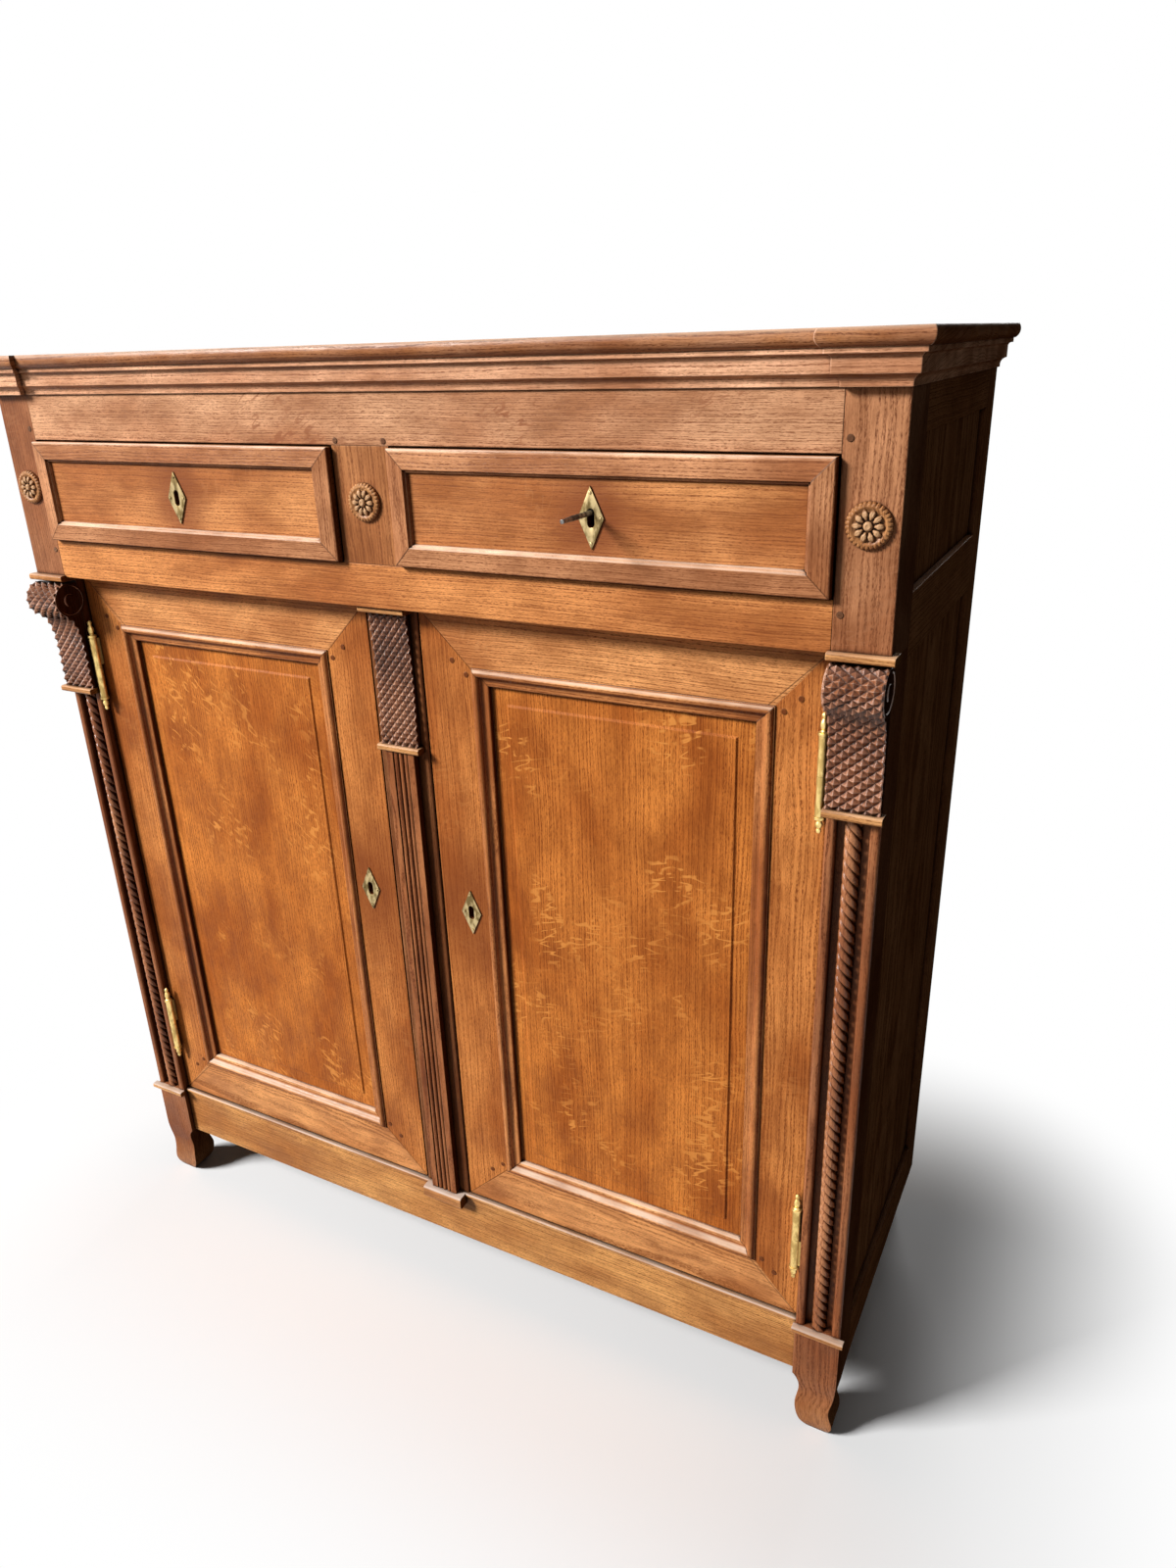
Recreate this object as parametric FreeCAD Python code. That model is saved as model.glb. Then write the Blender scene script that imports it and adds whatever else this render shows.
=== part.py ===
import FreeCAD, Part
import os

# Oak buffet with two drawers over two panelled doors, in millimetres.
# The cupboard faces -Y, +Z is up and the floor is at zero height.
# Depths are measured back from the face of the upper posts, and save() moves
# each finished piece so that the origin is the middle of the space it fills.

os.makedirs("parts", exist_ok=True)
V = FreeCAD.Vector
X_AXIS = V(1, 0, 0)
Y_AXIS = V(0, 1, 0)
Z_AXIS = V(0, 0, 1)

# Driving dimensions of the carcass
carcass_width = 1300.0
carcass_depth = 510.0
key_reach = 72.0
foot_height = 102.0
bottom_rail_height = 96.0
bottom_rail_face = 26.0
door_opening_height = 962.0
mid_rail_height = 56.0
drawer_opening_height = 142.5
frieze_height = 96.5
top_board_thickness = 17.0
post_width = 63.0
post_depth = 80.0
lower_set_back = 17.0
rear_post_size = 54.0
rear_foot_inset = 22.0
rail_thickness = 30.0
divider_width = 86.0
divider_depth = 40.0
muntin_width = 82.0
muntin_face = 28.0
muntin_bead = 4.0
tenon_length = 35.0
tenon_thickness = 12.0
tenon_shoulder = 10.0
frame_peg_inset = 8.0
frame_peg_rise = 15.0
divider_peg_inset = 6.5
divider_peg_rise = 5.5
divider_tenon_shoulder = 2.0
edge_ease = 1.2

# Sides, back and inside
side_rail_thickness = 28.0
side_top_rail_height = 82.0
side_mid_rail_drop = 22.0
side_mid_rail_height = 74.0
side_bottom_rail_height = 78.0
side_panel_thickness = 10.0
side_panel_recess = 8.0
back_board_thickness = 8.0
back_board_count = 5
back_board_gap = 0.6
back_rail_thickness = 24.0
back_rail_height = 80.0
floor_board_thickness = 14.0
dust_board_thickness = 10.0
shelf_rise = 442.0
shelf_thickness = 18.0
shelf_set_back = 2.0
door_stop_depth = 14.0
door_stop_overlap = 17.0
door_stop_inset = 60.0
door_stop_clearance = 0.4
bearer_height = 24.0
bearer_width = 22.0
runner_height = 30.0
runner_width = 27.0
guide_height = 20.0
guide_width = 13.0

# Cornice, as projection and height above its lower edge
cornice_height = 52.0
cornice_break = 8.0
cornice_reach = 24.0
cornice_profile = [
    (0, 0), (3, 0), (3, 3.5), ((5.2, 8.8), (10.5, 11.5)), (10.5, 24), ((11.8, 28.2), (15.5, 29.5)),
    (16.5, 29.5), (16.5, 35), (18.5, 35), ((cornice_reach, 44), (21.5, cornice_height)),
    (0, cornice_height),
]

# Consoles, strips, columns and carved pieces
strip_height = 9.0
strip_reach = 10.0
strip_round = 3.0
cap_strip_drop = 6.0
strip_inner_lap = 2.5
strip_outer_lap = 6.0
low_strip_inset = 2.0
low_strip_set_back = 0.0
console_drop = 178.0
console_width = 62.0
console_profile = [
    (lower_set_back, -cap_strip_drop), (-6, -cap_strip_drop), ((-30, -35), (-21.5, -56)),
    [(-6.5, -67.5), (0.5, -84), (3.5, -105), (4.2, -140), (4, -console_drop)],
    (lower_set_back, -console_drop),
]
centre_console_width = 59.0
centre_console_drop = 193.0
centre_console_profile = [
    (muntin_face, -strip_height), (15.5, -strip_height), ((19, -90), (15.5, -centre_console_drop)),
    (muntin_face, -centre_console_drop),
]
centre_strip_width = 72.0
centre_cap_face = 5.0
centre_strip_face = 12.5
plinth_height = 20.0
plinth_reach = 18.0
plinth_round = 4.0
channel_width = 38.0
channel_depth = 11.0
bead_round = 4.4
rope_radius = 10.0
rope_axis_set_back = 9.0
pilaster_width = 46.0
pilaster_thickness = 11.0
reed_radius = 3.9
reed_pitch = 8.4
reed_sink = 3.0
ledge_height = 6.0
ledge_reach = 3.0
ledge_round = 2.0
rosette_rise = 76.0
rosette_profile = [
    (0, 0), (23.5, 0), (23.5, -3), [(22.6, -5.2), (20.5, -6)], [(14.5, -4.6), (8.6, -4)],
    (7.2, -5), [(4.6, -8.2), (0, -9)],
]
# The four sides of a front foot, as steps inwards from the post's sides and heights
foot_shoulder = (0.1, foot_height)
foot_outer_line = [foot_shoulder, (1.3, 90), (4, 69), (8, 46), (4.2, 31), (2.9, 17), (7.5, 6), (13, 0)]
foot_inner_line = [foot_shoulder, (6.5, 94), (9.6, 74), (6, 52), (7, 34), (12, 16), (20, 5), (27, 0)]
foot_front_line = [foot_shoulder, (1.2, 86), (3, 66), (-0.4, 46), (0.4, 28), (3.5, 9), (8, 0)]
foot_back_line = [foot_shoulder, (10, 94), (18, 82), (21, 64), (16, 45), (16, 26), (20, 10), (26, 0)]
peg_radius = 3.5
peg_depth = 22.0
peg_proud = 0.6

# Doors
door_gap = 2.0
door_face = 30.0
door_thickness = 26.0
lock_stile_margin = 74.2
swing_stile_margin = 63.6
low_rail_margin = 71.6
high_rail_margin = 72.4
panel_face = 39.0
door_moulding_width = 25.0
door_moulding_lap = 7.0
door_moulding_profile = [
    (0, door_face), (0, 28.4), (1.6, 28.4), ((6.4, 24.8), (11.2, 28.4)), (11.8, 29.4),
    ((14.2, 31.6), (17.6, 32.2)), (21, 32.2), ((22.6, 32.9), (23.2, 34.6)), (23.6, 38.4),
    (door_moulding_width, 38.4), (door_moulding_width, panel_face), (door_moulding_lap, panel_face),
    (door_moulding_lap, door_face),
]
panel_thickness = 12.0
field_inset = 46.0
field_rise = 2.0
field_bevel = 2.2
swing_peg_insets = [(35.0, 61.0), (54.0, 78.0)]
lock_peg_insets = [(46.0, 65.0), (66.0, 82.0)]

# Hinges, with vase ends on a jointed barrel
hinge_set_in = 7.0
hinge_stand = 10.5
hinge_barrel_radius = 5.5
hinge_pin_radius = 3.0
running_clearance = 0.05
knuckle_gap = 0.4
hinge_barrel_length = 97.0
lower_hinge_rise = 98.0
upper_hinge_drop = 95.0
hinge_pin_reach = 38.0
leaf_thickness = 2.0
post_leaf_reach = 27.0
door_leaf_reach = 30.0
leaf_end_margin = 3.0
upper_vase = [(6.5, 0), (6.5, 3), [(4, 4.2), (3, 6)], [(4.6, 12), (2.2, 19)], [(3.2, 23), (0, 27)]]
lower_vase = [(6.5, 0), (6.5, -3), [(4, -4.2), (3, -6)], [(4.4, -10.5), (2.2, -15)], [(3, -18.6), (0, -22)]]

# Drawers
drawer_gap = 1.8
drawer_face = -5.0
drawer_front_thickness = 19.0
drawer_border_width = 28.0
drawer_border_profile = [
    (0, drawer_face), (0, -8), ((0.6, -9.6), (2, -10.2)), (23.6, -12), (24.8, -8.8),
    (26.6, -8.4), (drawer_border_width, drawer_face),
]
drawer_side_thickness = 12.0
drawer_side_height = 124.0
drawer_back_depth = 440.0
drawer_bottom_thickness = 8.0
drawer_bottom_rise = 8.0
slide_clearance = 0.4
guide_clearance = 2.0

# Locks, escutcheons and key
escutcheon_half_height = 34.5
escutcheon_half_width = 16.0
escutcheon_thickness = 2.0
escutcheon_pin_radius = 1.6
escutcheon_pin_proud = 1.0
keyhole_width = 9.0
keyhole_height = 21.0
escutcheon_end_pin_inset = 7.0
escutcheon_side_pin_inset = 4.0
drawer_keyhole_rise = 69.2
door_keyhole_inset = 46.0
door_keyhole_rise = 525.0
lock_wall = 3.0
lock_face_wall = 2.0
lock_depth = 16.0
bolt_clearance = 0.4
drawer_lock_width = 56.0
drawer_lock_height = 93.0
drawer_lock_drop = 1.7
drawer_bolt_width = 18.0
bolt_head_height = 14.0
bolt_plate_thickness = 3.0
bolt_plate_extra = 4.0
bolt_plate_rise = 6.0
bolt_tooth_inset = 6.0
bolt_tooth_drop = 8.0
bolt_tooth_height = 4.0
drawer_bolt_throw = 12.0
door_lock_inset = 7.0
door_lock_width = 62.0
door_lock_half_height = 40.0
door_bolt_half_height = 8.0
door_bolt_throw = 16.0
mortise_clearance = 1.5
key_radius = 3.0
key_tip_radius = 2.3
key_bit_reach = 9.5
key_bit_width = 3.0
key_bit_length = 6.0
key_taper_length = 20.0
key_end_gap = 1.0

# Heights and sideways places that follow from the sizes above
half_width = carcass_width / 2
post_inner = half_width - post_width
post_middle = half_width - post_width / 2
ledge_z = foot_height + bottom_rail_height
mid_z = ledge_z + door_opening_height
drawer_z = mid_z + mid_rail_height
frieze_z = drawer_z + drawer_opening_height
carcass_top = frieze_z + frieze_height
top_z = carcass_top + top_board_thickness
cornice_z = top_z - cornice_height
divider_half = divider_width / 2
muntin_half = muntin_width / 2
door_back = door_face + door_thickness
mid_rail_depth = door_back
rear_post_face = carcass_depth - rear_post_size
rear_post_inner = half_width - rear_post_size
side_inner = half_width - side_rail_thickness
back_board_face = carcass_depth - back_board_thickness
back_rail_face = back_board_face - back_rail_thickness
door_left = muntin_half + door_gap
door_right = post_inner - door_gap
door_low = ledge_z + door_gap
door_high = mid_z - door_gap
drawer_left = divider_half + drawer_gap
drawer_right = post_inner - drawer_gap
drawer_low = drawer_z + drawer_gap
drawer_high = frieze_z - drawer_gap
drawer_middle = (drawer_left + drawer_right) / 2
drawer_front_back = drawer_face + drawer_front_thickness
strip_face = lower_set_back - strip_reach
hinge_middle = hinge_barrel_length / 2
hinge_x = post_inner - hinge_set_in
hinge_y = door_face - hinge_stand
hinge_lows = [door_low + lower_hinge_rise, door_high - upper_hinge_drop - hinge_barrel_length]
cap_strip_low = mid_z - cap_strip_drop
console_low = mid_z - console_drop
centre_console_low = mid_z - centre_console_drop
rosette_height = drawer_z + rosette_rise
side_mid_rail_low = mid_z - side_mid_rail_drop
shelf_low = ledge_z + shelf_rise
door_moulding_left = door_left + lock_stile_margin
door_moulding_right = door_right - swing_stile_margin
door_moulding_low = door_low + low_rail_margin
door_moulding_high = door_high - high_rail_margin
door_keyhole_x = door_left + door_keyhole_inset
door_keyhole_height = door_low + door_keyhole_rise
door_lock_low_x = door_left + door_lock_inset
door_lock_high_x = door_lock_low_x + door_lock_width
drawer_keyhole_height = drawer_low + drawer_keyhole_rise
drawer_lock_high = drawer_high - drawer_lock_drop
drawer_lock_low = drawer_lock_high - drawer_lock_height


def box(x0, x1, y0, y1, z0, z1):
    return Part.makeBox(x1 - x0, y1 - y0, z1 - z0, V(x0, y0, z0))


def outline(place, path):
    """Closed face along a path: a point is a straight step, a pair an arc through its first point
    and a list a smooth curve through its points."""
    edges = []
    here = path[0]
    for step in path[1:] + [path[0]]:
        if isinstance(step, list):
            curve = Part.BSplineCurve()
            curve.interpolate([place(*p) for p in [here] + step])
            edges.append(curve.toShape())
            here = step[-1]
        elif isinstance(step[0], tuple):
            edges.append(Part.Arc(place(*here), place(*step[0]), place(*step[1])).toShape())
            here = step[1]
        elif step != here:
            edges.append(Part.makeLine(place(*here), place(*step)))
            here = step
    return Part.Face(Part.Wire(edges))


def along_x(path, x0, x1):
    return outline(lambda y, z: V(x0, y, z), path).extrude(V(x1 - x0, 0, 0))


def along_y(path, y0, y1):
    return outline(lambda x, z: V(x, y0, z), path).extrude(V(0, y1 - y0, 0))


def along_z(path, z0, z1):
    return outline(lambda x, y: V(x, y, z0), path).extrude(V(0, 0, z1 - z0))


def peg(x, y, z, radius, length, direction=Y_AXIS):
    return Part.makeCylinder(radius, length, V(x, y, z), direction)


def turned(face, centre, axis):
    """Solid of revolution with its skin facing outwards."""
    solid = face.revolve(centre, axis, 360)
    if solid.Volume < 0:
        solid.reverse()
    return solid


def mirrored(shape):
    return shape.mirror(V(0, 0, 0), X_AXIS)


def both(shape):
    return [mirrored(shape), shape]


def fused(*shapes):
    return shapes[0].multiFuse(list(shapes[1:])).removeSplitter()


def cut_by(shape, tools):
    for tool in tools:
        shape = shape.cut(tool)
    return shape


def eased(shape, radius, axis, chosen):
    """Rounds the straight edges along an axis whose middles are chosen."""
    edges = []
    for edge in shape.Edges:
        if len(edge.Vertexes) == 2:
            run = edge.Vertexes[1].Point - edge.Vertexes[0].Point
            if abs(run.dot(axis)) > 0.999 * run.Length and chosen(edge.CenterOfMass):
                edges.append(edge)
    return shape.makeFillet(radius, edges)


def save(node, *solids):
    piece = Part.makeCompound(list(solids)) if len(solids) > 1 else solids[0]
    middle = (carcass_depth - key_reach) / 2
    piece.translated(V(0, -middle, 0)).exportStep("parts/" + node + ".step")


def mitred_lengths(x0, x1, z0, z1, width, profile):
    """Four lengths of moulding mitred round a rectangle; the profile runs inwards from its edge."""
    ix0, ix1, iz0, iz1 = x0 + width, x1 - width, z0 + width, z1 - width
    front, back = -100, 100
    left = along_y([(x0, z0), (ix0, iz0), (ix0, iz1), (x0, z1)], front, back)
    right = along_y([(x1, z0), (ix1, iz0), (ix1, iz1), (x1, z1)], front, back)
    low = along_y([(x0, z0), (ix0, iz0), (ix1, iz0), (x1, z0)], front, back)
    high = along_y([(x0, z1), (ix0, iz1), (ix1, iz1), (x1, z1)], front, back)
    upright_left = outline(lambda u, y: V(x0 + u, y, z0), profile).extrude(V(0, 0, z1 - z0))
    upright_right = outline(lambda u, y: V(x1 - u, y, z0), profile).extrude(V(0, 0, z1 - z0))
    flat_low = outline(lambda u, y: V(x0, y, z0 + u), profile).extrude(V(x1 - x0, 0, 0))
    flat_high = outline(lambda u, y: V(x0, y, z1 - u), profile).extrude(V(x1 - x0, 0, 0))
    pairs = [(upright_left, left), (upright_right, right), (flat_low, low), (flat_high, high)]
    return [length.common(trim) for length, trim in pairs]


def obround(x, z, width, height, y0, y1):
    half = width / 2
    rise = height / 2 - half
    path = [(x - half, z - rise), ((x, z - rise - half), (x + half, z - rise)),
            (x + half, z + rise), ((x, z + rise + half), (x - half, z + rise))]
    return along_y(path, y0, y1)


def escutcheon(x, z, face):
    """Brass diamond plate with a keyhole, held by four round-headed pins."""
    high, wide = escutcheon_half_height, escutcheon_half_width
    front = face - escutcheon_thickness
    plate = along_y([(x, z - high), (x + wide, z), (x, z + high), (x - wide, z)], front, face)
    plate = plate.cut(obround(x, z, keyhole_width, keyhole_height, front - 1, face + 1))
    pins = []
    up = high - escutcheon_end_pin_inset
    out = wide - escutcheon_side_pin_inset
    for px, pz in [(x, z + up), (x, z - up), (x + out, z), (x - out, z)]:
        pins.append(peg(px, front - escutcheon_pin_proud, pz, escutcheon_pin_radius, escutcheon_pin_proud))
    return [plate] + pins


def rounded_strip(x0, x1, y0, y1, z0, z1, radius=strip_round):
    strip = box(x0, x1, y0, y1, z0, z1)
    return eased(strip, radius, X_AXIS, lambda p: p.y < y0 + 0.1)


# Front posts: one timber from foot to top, cut back below the drawers, with a sunk channel
upper_low = cap_strip_low + strip_height
shaft_low = ledge_z
bottom_strip_low = console_low - strip_height
foot_outer = [(half_width - step, z) for step, z in foot_outer_line]
foot_inner = [(post_inner + step, z) for step, z in reversed(foot_inner_line)]
foot_across = along_y([foot_outer[0], foot_outer[1:], foot_inner[0], foot_inner[1:]], 0, carcass_depth)
foot_back = [(post_depth - step, z) for step, z in foot_back_line]
foot_front = [(lower_set_back + step, z) for step, z in reversed(foot_front_line)]
foot_along = along_x([foot_back[0], foot_back[1:], foot_front[0], foot_front[1:]], 0, carcass_width)
foot = foot_across.common(foot_along)
post_upper = box(post_inner, half_width, 0, post_depth, upper_low, carcass_top)
post_upper = eased(post_upper, edge_ease, Z_AXIS, lambda p: p.y < 1)
post_block = box(post_inner, half_width, lower_set_back, post_depth, foot_height, shaft_low)
post_shaft = box(post_inner, half_width, lower_set_back, post_depth, shaft_low, bottom_strip_low)
channel_half = channel_width / 2
channel = box(post_middle - channel_half, post_middle + channel_half, lower_set_back,
              lower_set_back + channel_depth, shaft_low, bottom_strip_low)
post_shaft = eased(post_shaft.cut(channel), bead_round, Z_AXIS, lambda p: p.y < lower_set_back + 0.1)
post_head = box(post_inner, half_width, lower_set_back, post_depth, bottom_strip_low, upper_low)
front_post = fused(post_upper, post_head, post_shaft, post_block, foot)

# Front rails with tenons into the posts
rail_faces = {"frieze": 0.0, "mid": 0.0, "bottom": bottom_rail_face}
rail_backs = {"frieze": rail_thickness, "mid": mid_rail_depth, "bottom": mid_rail_depth}
rail_lows = {"frieze": frieze_z, "mid": mid_z, "bottom": foot_height}
rail_highs = {"frieze": carcass_top, "mid": drawer_z, "bottom": ledge_z}
rails = {}
for name in rail_faces:
    face, back = rail_faces[name], rail_backs[name]
    low, high = rail_lows[name], rail_highs[name]
    rail = box(-post_inner, post_inner, face, back, low, high)
    rail = eased(rail, edge_ease, X_AXIS, lambda p: p.y < face + 0.1)
    tenon_face = face + tenon_shoulder
    tenon = box(post_inner, post_inner + tenon_length, tenon_face, tenon_face + tenon_thickness,
                low + tenon_shoulder, high - tenon_shoulder)
    front_post = front_post.cut(tenon)
    rails[name] = fused(rail, *both(tenon))

# Upright between the drawers and muntin between the doors, both tenoned into the rails
divider = box(-divider_half, divider_half, 0, divider_depth, drawer_z, frieze_z)
for name, low in (("mid", drawer_z - tenon_length), ("frieze", frieze_z)):
    tenon_half = divider_half - divider_tenon_shoulder
    tenon = box(-tenon_half, tenon_half, tenon_shoulder, tenon_shoulder + tenon_thickness,
                low, low + tenon_length)
    rails[name] = rails[name].cut(tenon)
    divider = divider.fuse(tenon)
divider = divider.removeSplitter()
muntin = box(-muntin_half, muntin_half, muntin_face, door_back, ledge_z, mid_z)
muntin = eased(muntin, muntin_bead, Z_AXIS, lambda p: p.y < muntin_face + 0.1)
muntin_tenon_face = muntin_face + tenon_shoulder / 2
for name, low in (("bottom", ledge_z - tenon_length), ("mid", mid_z)):
    tenon = box(-muntin_half + tenon_shoulder, muntin_half - tenon_shoulder, muntin_tenon_face,
                muntin_tenon_face + tenon_thickness, low, low + tenon_length)
    rails[name] = rails[name].cut(tenon)
    muntin = muntin.fuse(tenon)
muntin = muntin.removeSplitter()

# Wooden pegs through the tenons of the front frame
frame_peg_x = post_inner + frame_peg_inset
frame_peg_places = [(frame_peg_x, frieze_z + frame_peg_rise), (frame_peg_x, drawer_z - frame_peg_rise),
                    (divider_half - divider_peg_inset, frieze_z + divider_peg_rise)]
frame_pegs = []
for x, z in frame_peg_places:
    frame_pegs += both(peg(x, -peg_proud, z, peg_radius, peg_depth))
rails = {name: cut_by(rail, frame_pegs) for name, rail in rails.items()}
divider = cut_by(divider, frame_pegs)

# Hinges: the lower half with its pin stays in the post, the upper half turns with the door
post_hinges = []
door_hinges = []
door_leaf_slots = []
for low in hinge_lows:
    middle = low + hinge_middle
    high = low + hinge_barrel_length
    lower_top = middle - knuckle_gap / 2
    upper_low_z = middle + knuckle_gap / 2
    place_low = outline(lambda r, z: V(hinge_x + r, hinge_y, low + z), [(0, 0)] + lower_vase)
    place_high = outline(lambda r, z: V(hinge_x + r, hinge_y, high + z), [(0, 0)] + upper_vase)
    vase_low = turned(place_low, V(hinge_x, hinge_y, 0), Z_AXIS)
    vase_high = turned(place_high, V(hinge_x, hinge_y, 0), Z_AXIS)
    barrel_low = peg(hinge_x, hinge_y, low, hinge_barrel_radius, lower_top - low, Z_AXIS)
    barrel_high = peg(hinge_x, hinge_y, upper_low_z, hinge_barrel_radius, high - upper_low_z, Z_AXIS)
    pin = peg(hinge_x, hinge_y, low, hinge_pin_radius, middle - low + hinge_pin_reach, Z_AXIS)
    bore = peg(hinge_x, hinge_y, low, hinge_pin_radius + running_clearance,
               middle - low + hinge_pin_reach + slide_clearance, Z_AXIS)
    half_leaf = leaf_thickness / 2
    leaf_x = post_inner + leaf_thickness
    leaf_low, leaf_high = low + leaf_end_margin, lower_top - leaf_end_margin
    leaf_bend = box(hinge_x, leaf_x, hinge_y - half_leaf, hinge_y + half_leaf, leaf_low, leaf_high)
    leaf_wing = box(post_inner, leaf_x, hinge_y - half_leaf, hinge_y + post_leaf_reach, leaf_low, leaf_high)
    post_leaf = leaf_bend.fuse(leaf_wing)
    door_leaf = box(hinge_x - half_leaf, hinge_x + half_leaf, hinge_y, hinge_y + door_leaf_reach,
                    upper_low_z + leaf_end_margin, high - leaf_end_margin)
    front_post = front_post.cut(post_leaf)
    door_leaf_slots.append(door_leaf)
    post_hinges.append(fused(vase_low, barrel_low, post_leaf, pin))
    door_hinges.append(fused(vase_high, barrel_high, door_leaf).cut(bore))

front_post = cut_by(front_post, frame_pegs)
save("front_posts", *both(front_post))
save("post_hinge_halves", *[half for hinge in post_hinges for half in both(hinge)])

# Rear posts, with plain feet set in from the sides
rear_post = fused(
    box(rear_post_inner, half_width, rear_post_face, carcass_depth, foot_height, carcass_top),
    box(rear_post_inner, half_width - rear_foot_inset, rear_post_face, carcass_depth, 0, foot_height))
save("rear_posts", *both(rear_post))

# Sides: three rails and two sunk panels each
side_levels = [(foot_height, foot_height + side_bottom_rail_height),
               (side_mid_rail_low, side_mid_rail_low + side_mid_rail_height),
               (carcass_top - side_top_rail_height, carcass_top)]
side_rails = []
side_panels = []
for low, high in side_levels:
    rail = box(side_inner, half_width, post_depth, rear_post_face, low, high)
    side_rails += both(eased(rail, edge_ease, Y_AXIS, lambda p: p.x > half_width - 1))
panel_out = half_width - side_panel_recess
panel_in = panel_out - side_panel_thickness
for lower_rail, upper_rail in zip(side_levels, side_levels[1:]):
    side_panels += both(box(panel_in, panel_out, post_depth, rear_post_face, lower_rail[1], upper_rail[0]))
save("side_rails", *side_rails)
save("side_panels", *side_panels)

# Back: two rails and upright boards between the rear posts
back_rails = []
for low in (foot_height, carcass_top - back_rail_height):
    back_rails.append(box(-rear_post_inner, rear_post_inner, back_rail_face, back_board_face,
                          low, low + back_rail_height))
board_width = 2 * rear_post_inner / back_board_count
back_boards = []
for i in range(back_board_count):
    left = -rear_post_inner + i * board_width
    right = left + board_width - (back_board_gap if i < back_board_count - 1 else 0)
    back_boards.append(box(left, right, back_board_face, carcass_depth, foot_height, carcass_top))
save("back_rails", *back_rails)
save("back_boards", *back_boards)


def inner_board(front, low, high):
    """A board across the inside, notched round the four posts."""
    middle = box(-post_inner, post_inner, front, back_rail_face, low, high)
    wide = box(-side_inner, side_inner, max(front, post_depth), rear_post_face, low, high)
    return fused(middle, wide)


# Inside boards, shelf with its bearers, and what the drawers run on
shelf_front = door_back + lock_depth + shelf_set_back
dust_high = drawer_z - runner_height
dust_low = dust_high - dust_board_thickness
save("floor_boards", inner_board(mid_rail_depth, ledge_z - floor_board_thickness, ledge_z))
save("dust_board", inner_board(mid_rail_depth, dust_low, dust_high))
save("shelf", inner_board(shelf_front, shelf_low, shelf_low + shelf_thickness))
bearer = box(side_inner - bearer_width, side_inner, post_depth, rear_post_face,
             shelf_low - bearer_height, shelf_low)
save("shelf_bearers", *both(bearer))
stop_back = door_back + door_stop_depth
stop_low = mid_z - door_stop_overlap
stop_face = door_back + door_stop_clearance
stop_outline = [(stop_face, stop_low), (stop_back, stop_low), (stop_back, dust_low), (door_back, dust_low),
                (door_back, mid_z), (stop_face, mid_z)]
door_stop = along_x(stop_outline, door_left + door_stop_inset, door_right - door_stop_inset)
save("door_stops", *both(door_stop))
runner_left = drawer_right - drawer_side_thickness
outer_runner = box(runner_left, runner_left + runner_width, post_depth, rear_post_face, dust_high, drawer_z)
centre_half = divider_half + runner_width
centre_runner = box(-centre_half, centre_half, mid_rail_depth, back_rail_face, dust_high, drawer_z)
save("drawer_runners", centre_runner, *both(outer_runner))
guide_high = drawer_z + guide_height
guide_half = drawer_left - guide_clearance
outer_guide = box(post_inner, post_inner + guide_width, post_depth, rear_post_face, drawer_z, guide_high)
centre_guide = box(-guide_half, guide_half, mid_rail_depth, back_rail_face, drawer_z, guide_high)
save("drawer_guides", centre_guide, *both(outer_guide))

# Top board and cornice, which breaks forward over each post
save("top_board", box(-half_width, half_width, 0, carcass_depth, carcass_top, top_z))
reach = cornice_reach
run_profile = outline(lambda n, z: V(-half_width, -n, cornice_z + z), cornice_profile)
run_trim = along_z([(-post_inner, 0), (post_inner, 0), (post_inner - reach, -reach),
                    (-post_inner + reach, -reach)], cornice_z, top_z)
cornice_run = run_profile.extrude(V(carcass_width, 0, 0)).common(run_trim)
break_y = -cornice_break
break_profile = outline(lambda n, z: V(0, break_y - n, cornice_z + z), cornice_profile)
break_solid = break_profile.extrude(V(carcass_width, 0, 0))
break_trim = along_z([(post_inner, break_y), (half_width, break_y), (half_width + reach, break_y - reach),
                      (post_inner - reach, break_y - reach)], cornice_z, top_z)
break_packing = box(post_inner, half_width, break_y, 0, cornice_z, top_z)
break_front = fused(break_solid.common(break_trim), break_packing)
return_profile = outline(lambda n, z: V(post_inner - n, -carcass_depth, cornice_z + z), cornice_profile)
return_trim = along_z([(post_inner, break_y), (post_inner, 0), (post_inner - reach, -reach),
                       (post_inner - reach, break_y - reach)], cornice_z, top_z)
break_return = return_profile.extrude(V(0, 2 * carcass_depth, 0)).common(return_trim)
side_profile = outline(lambda n, z: V(half_width + n, -carcass_depth, cornice_z + z), cornice_profile)
side_trim = along_z([(half_width, break_y), (half_width + reach, break_y - reach),
                     (half_width + reach, carcass_depth), (half_width, carcass_depth)], cornice_z, top_z)
cornice_side = side_profile.extrude(V(0, 2 * carcass_depth, 0)).common(side_trim)
save("cornice_moulding", cornice_run, *(both(break_front) + both(break_return) + both(cornice_side)))

# Consoles, their strips, rope columns, pilaster, ledge and rosettes
mid_height = V(0, 0, mid_z)
corner_console = along_x(console_profile, half_width - console_width, half_width).translated(mid_height)
save("corner_consoles", *both(corner_console))
centre_half = centre_console_width / 2
save("centre_console", along_x(centre_console_profile, -centre_half, centre_half).translated(mid_height))
strip_left = post_inner - strip_inner_lap
strip_right = half_width + strip_outer_lap
cap_strip = rounded_strip(strip_left, strip_right, -strip_reach, lower_set_back, cap_strip_low, upper_low)
cap_strip = cap_strip.cut(rails["mid"])
low_strip = rounded_strip(strip_left + low_strip_inset, strip_right - low_strip_inset, low_strip_set_back,
                          lower_set_back, bottom_strip_low, console_low)
foot_strip = rounded_strip(strip_left, strip_right, strip_face, lower_set_back,
                           shaft_low - strip_height, shaft_low)
strip_half = centre_strip_width / 2
centre_cap = rounded_strip(-strip_half, strip_half, centre_cap_face, muntin_face,
                           mid_z - strip_height, mid_z)
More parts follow.
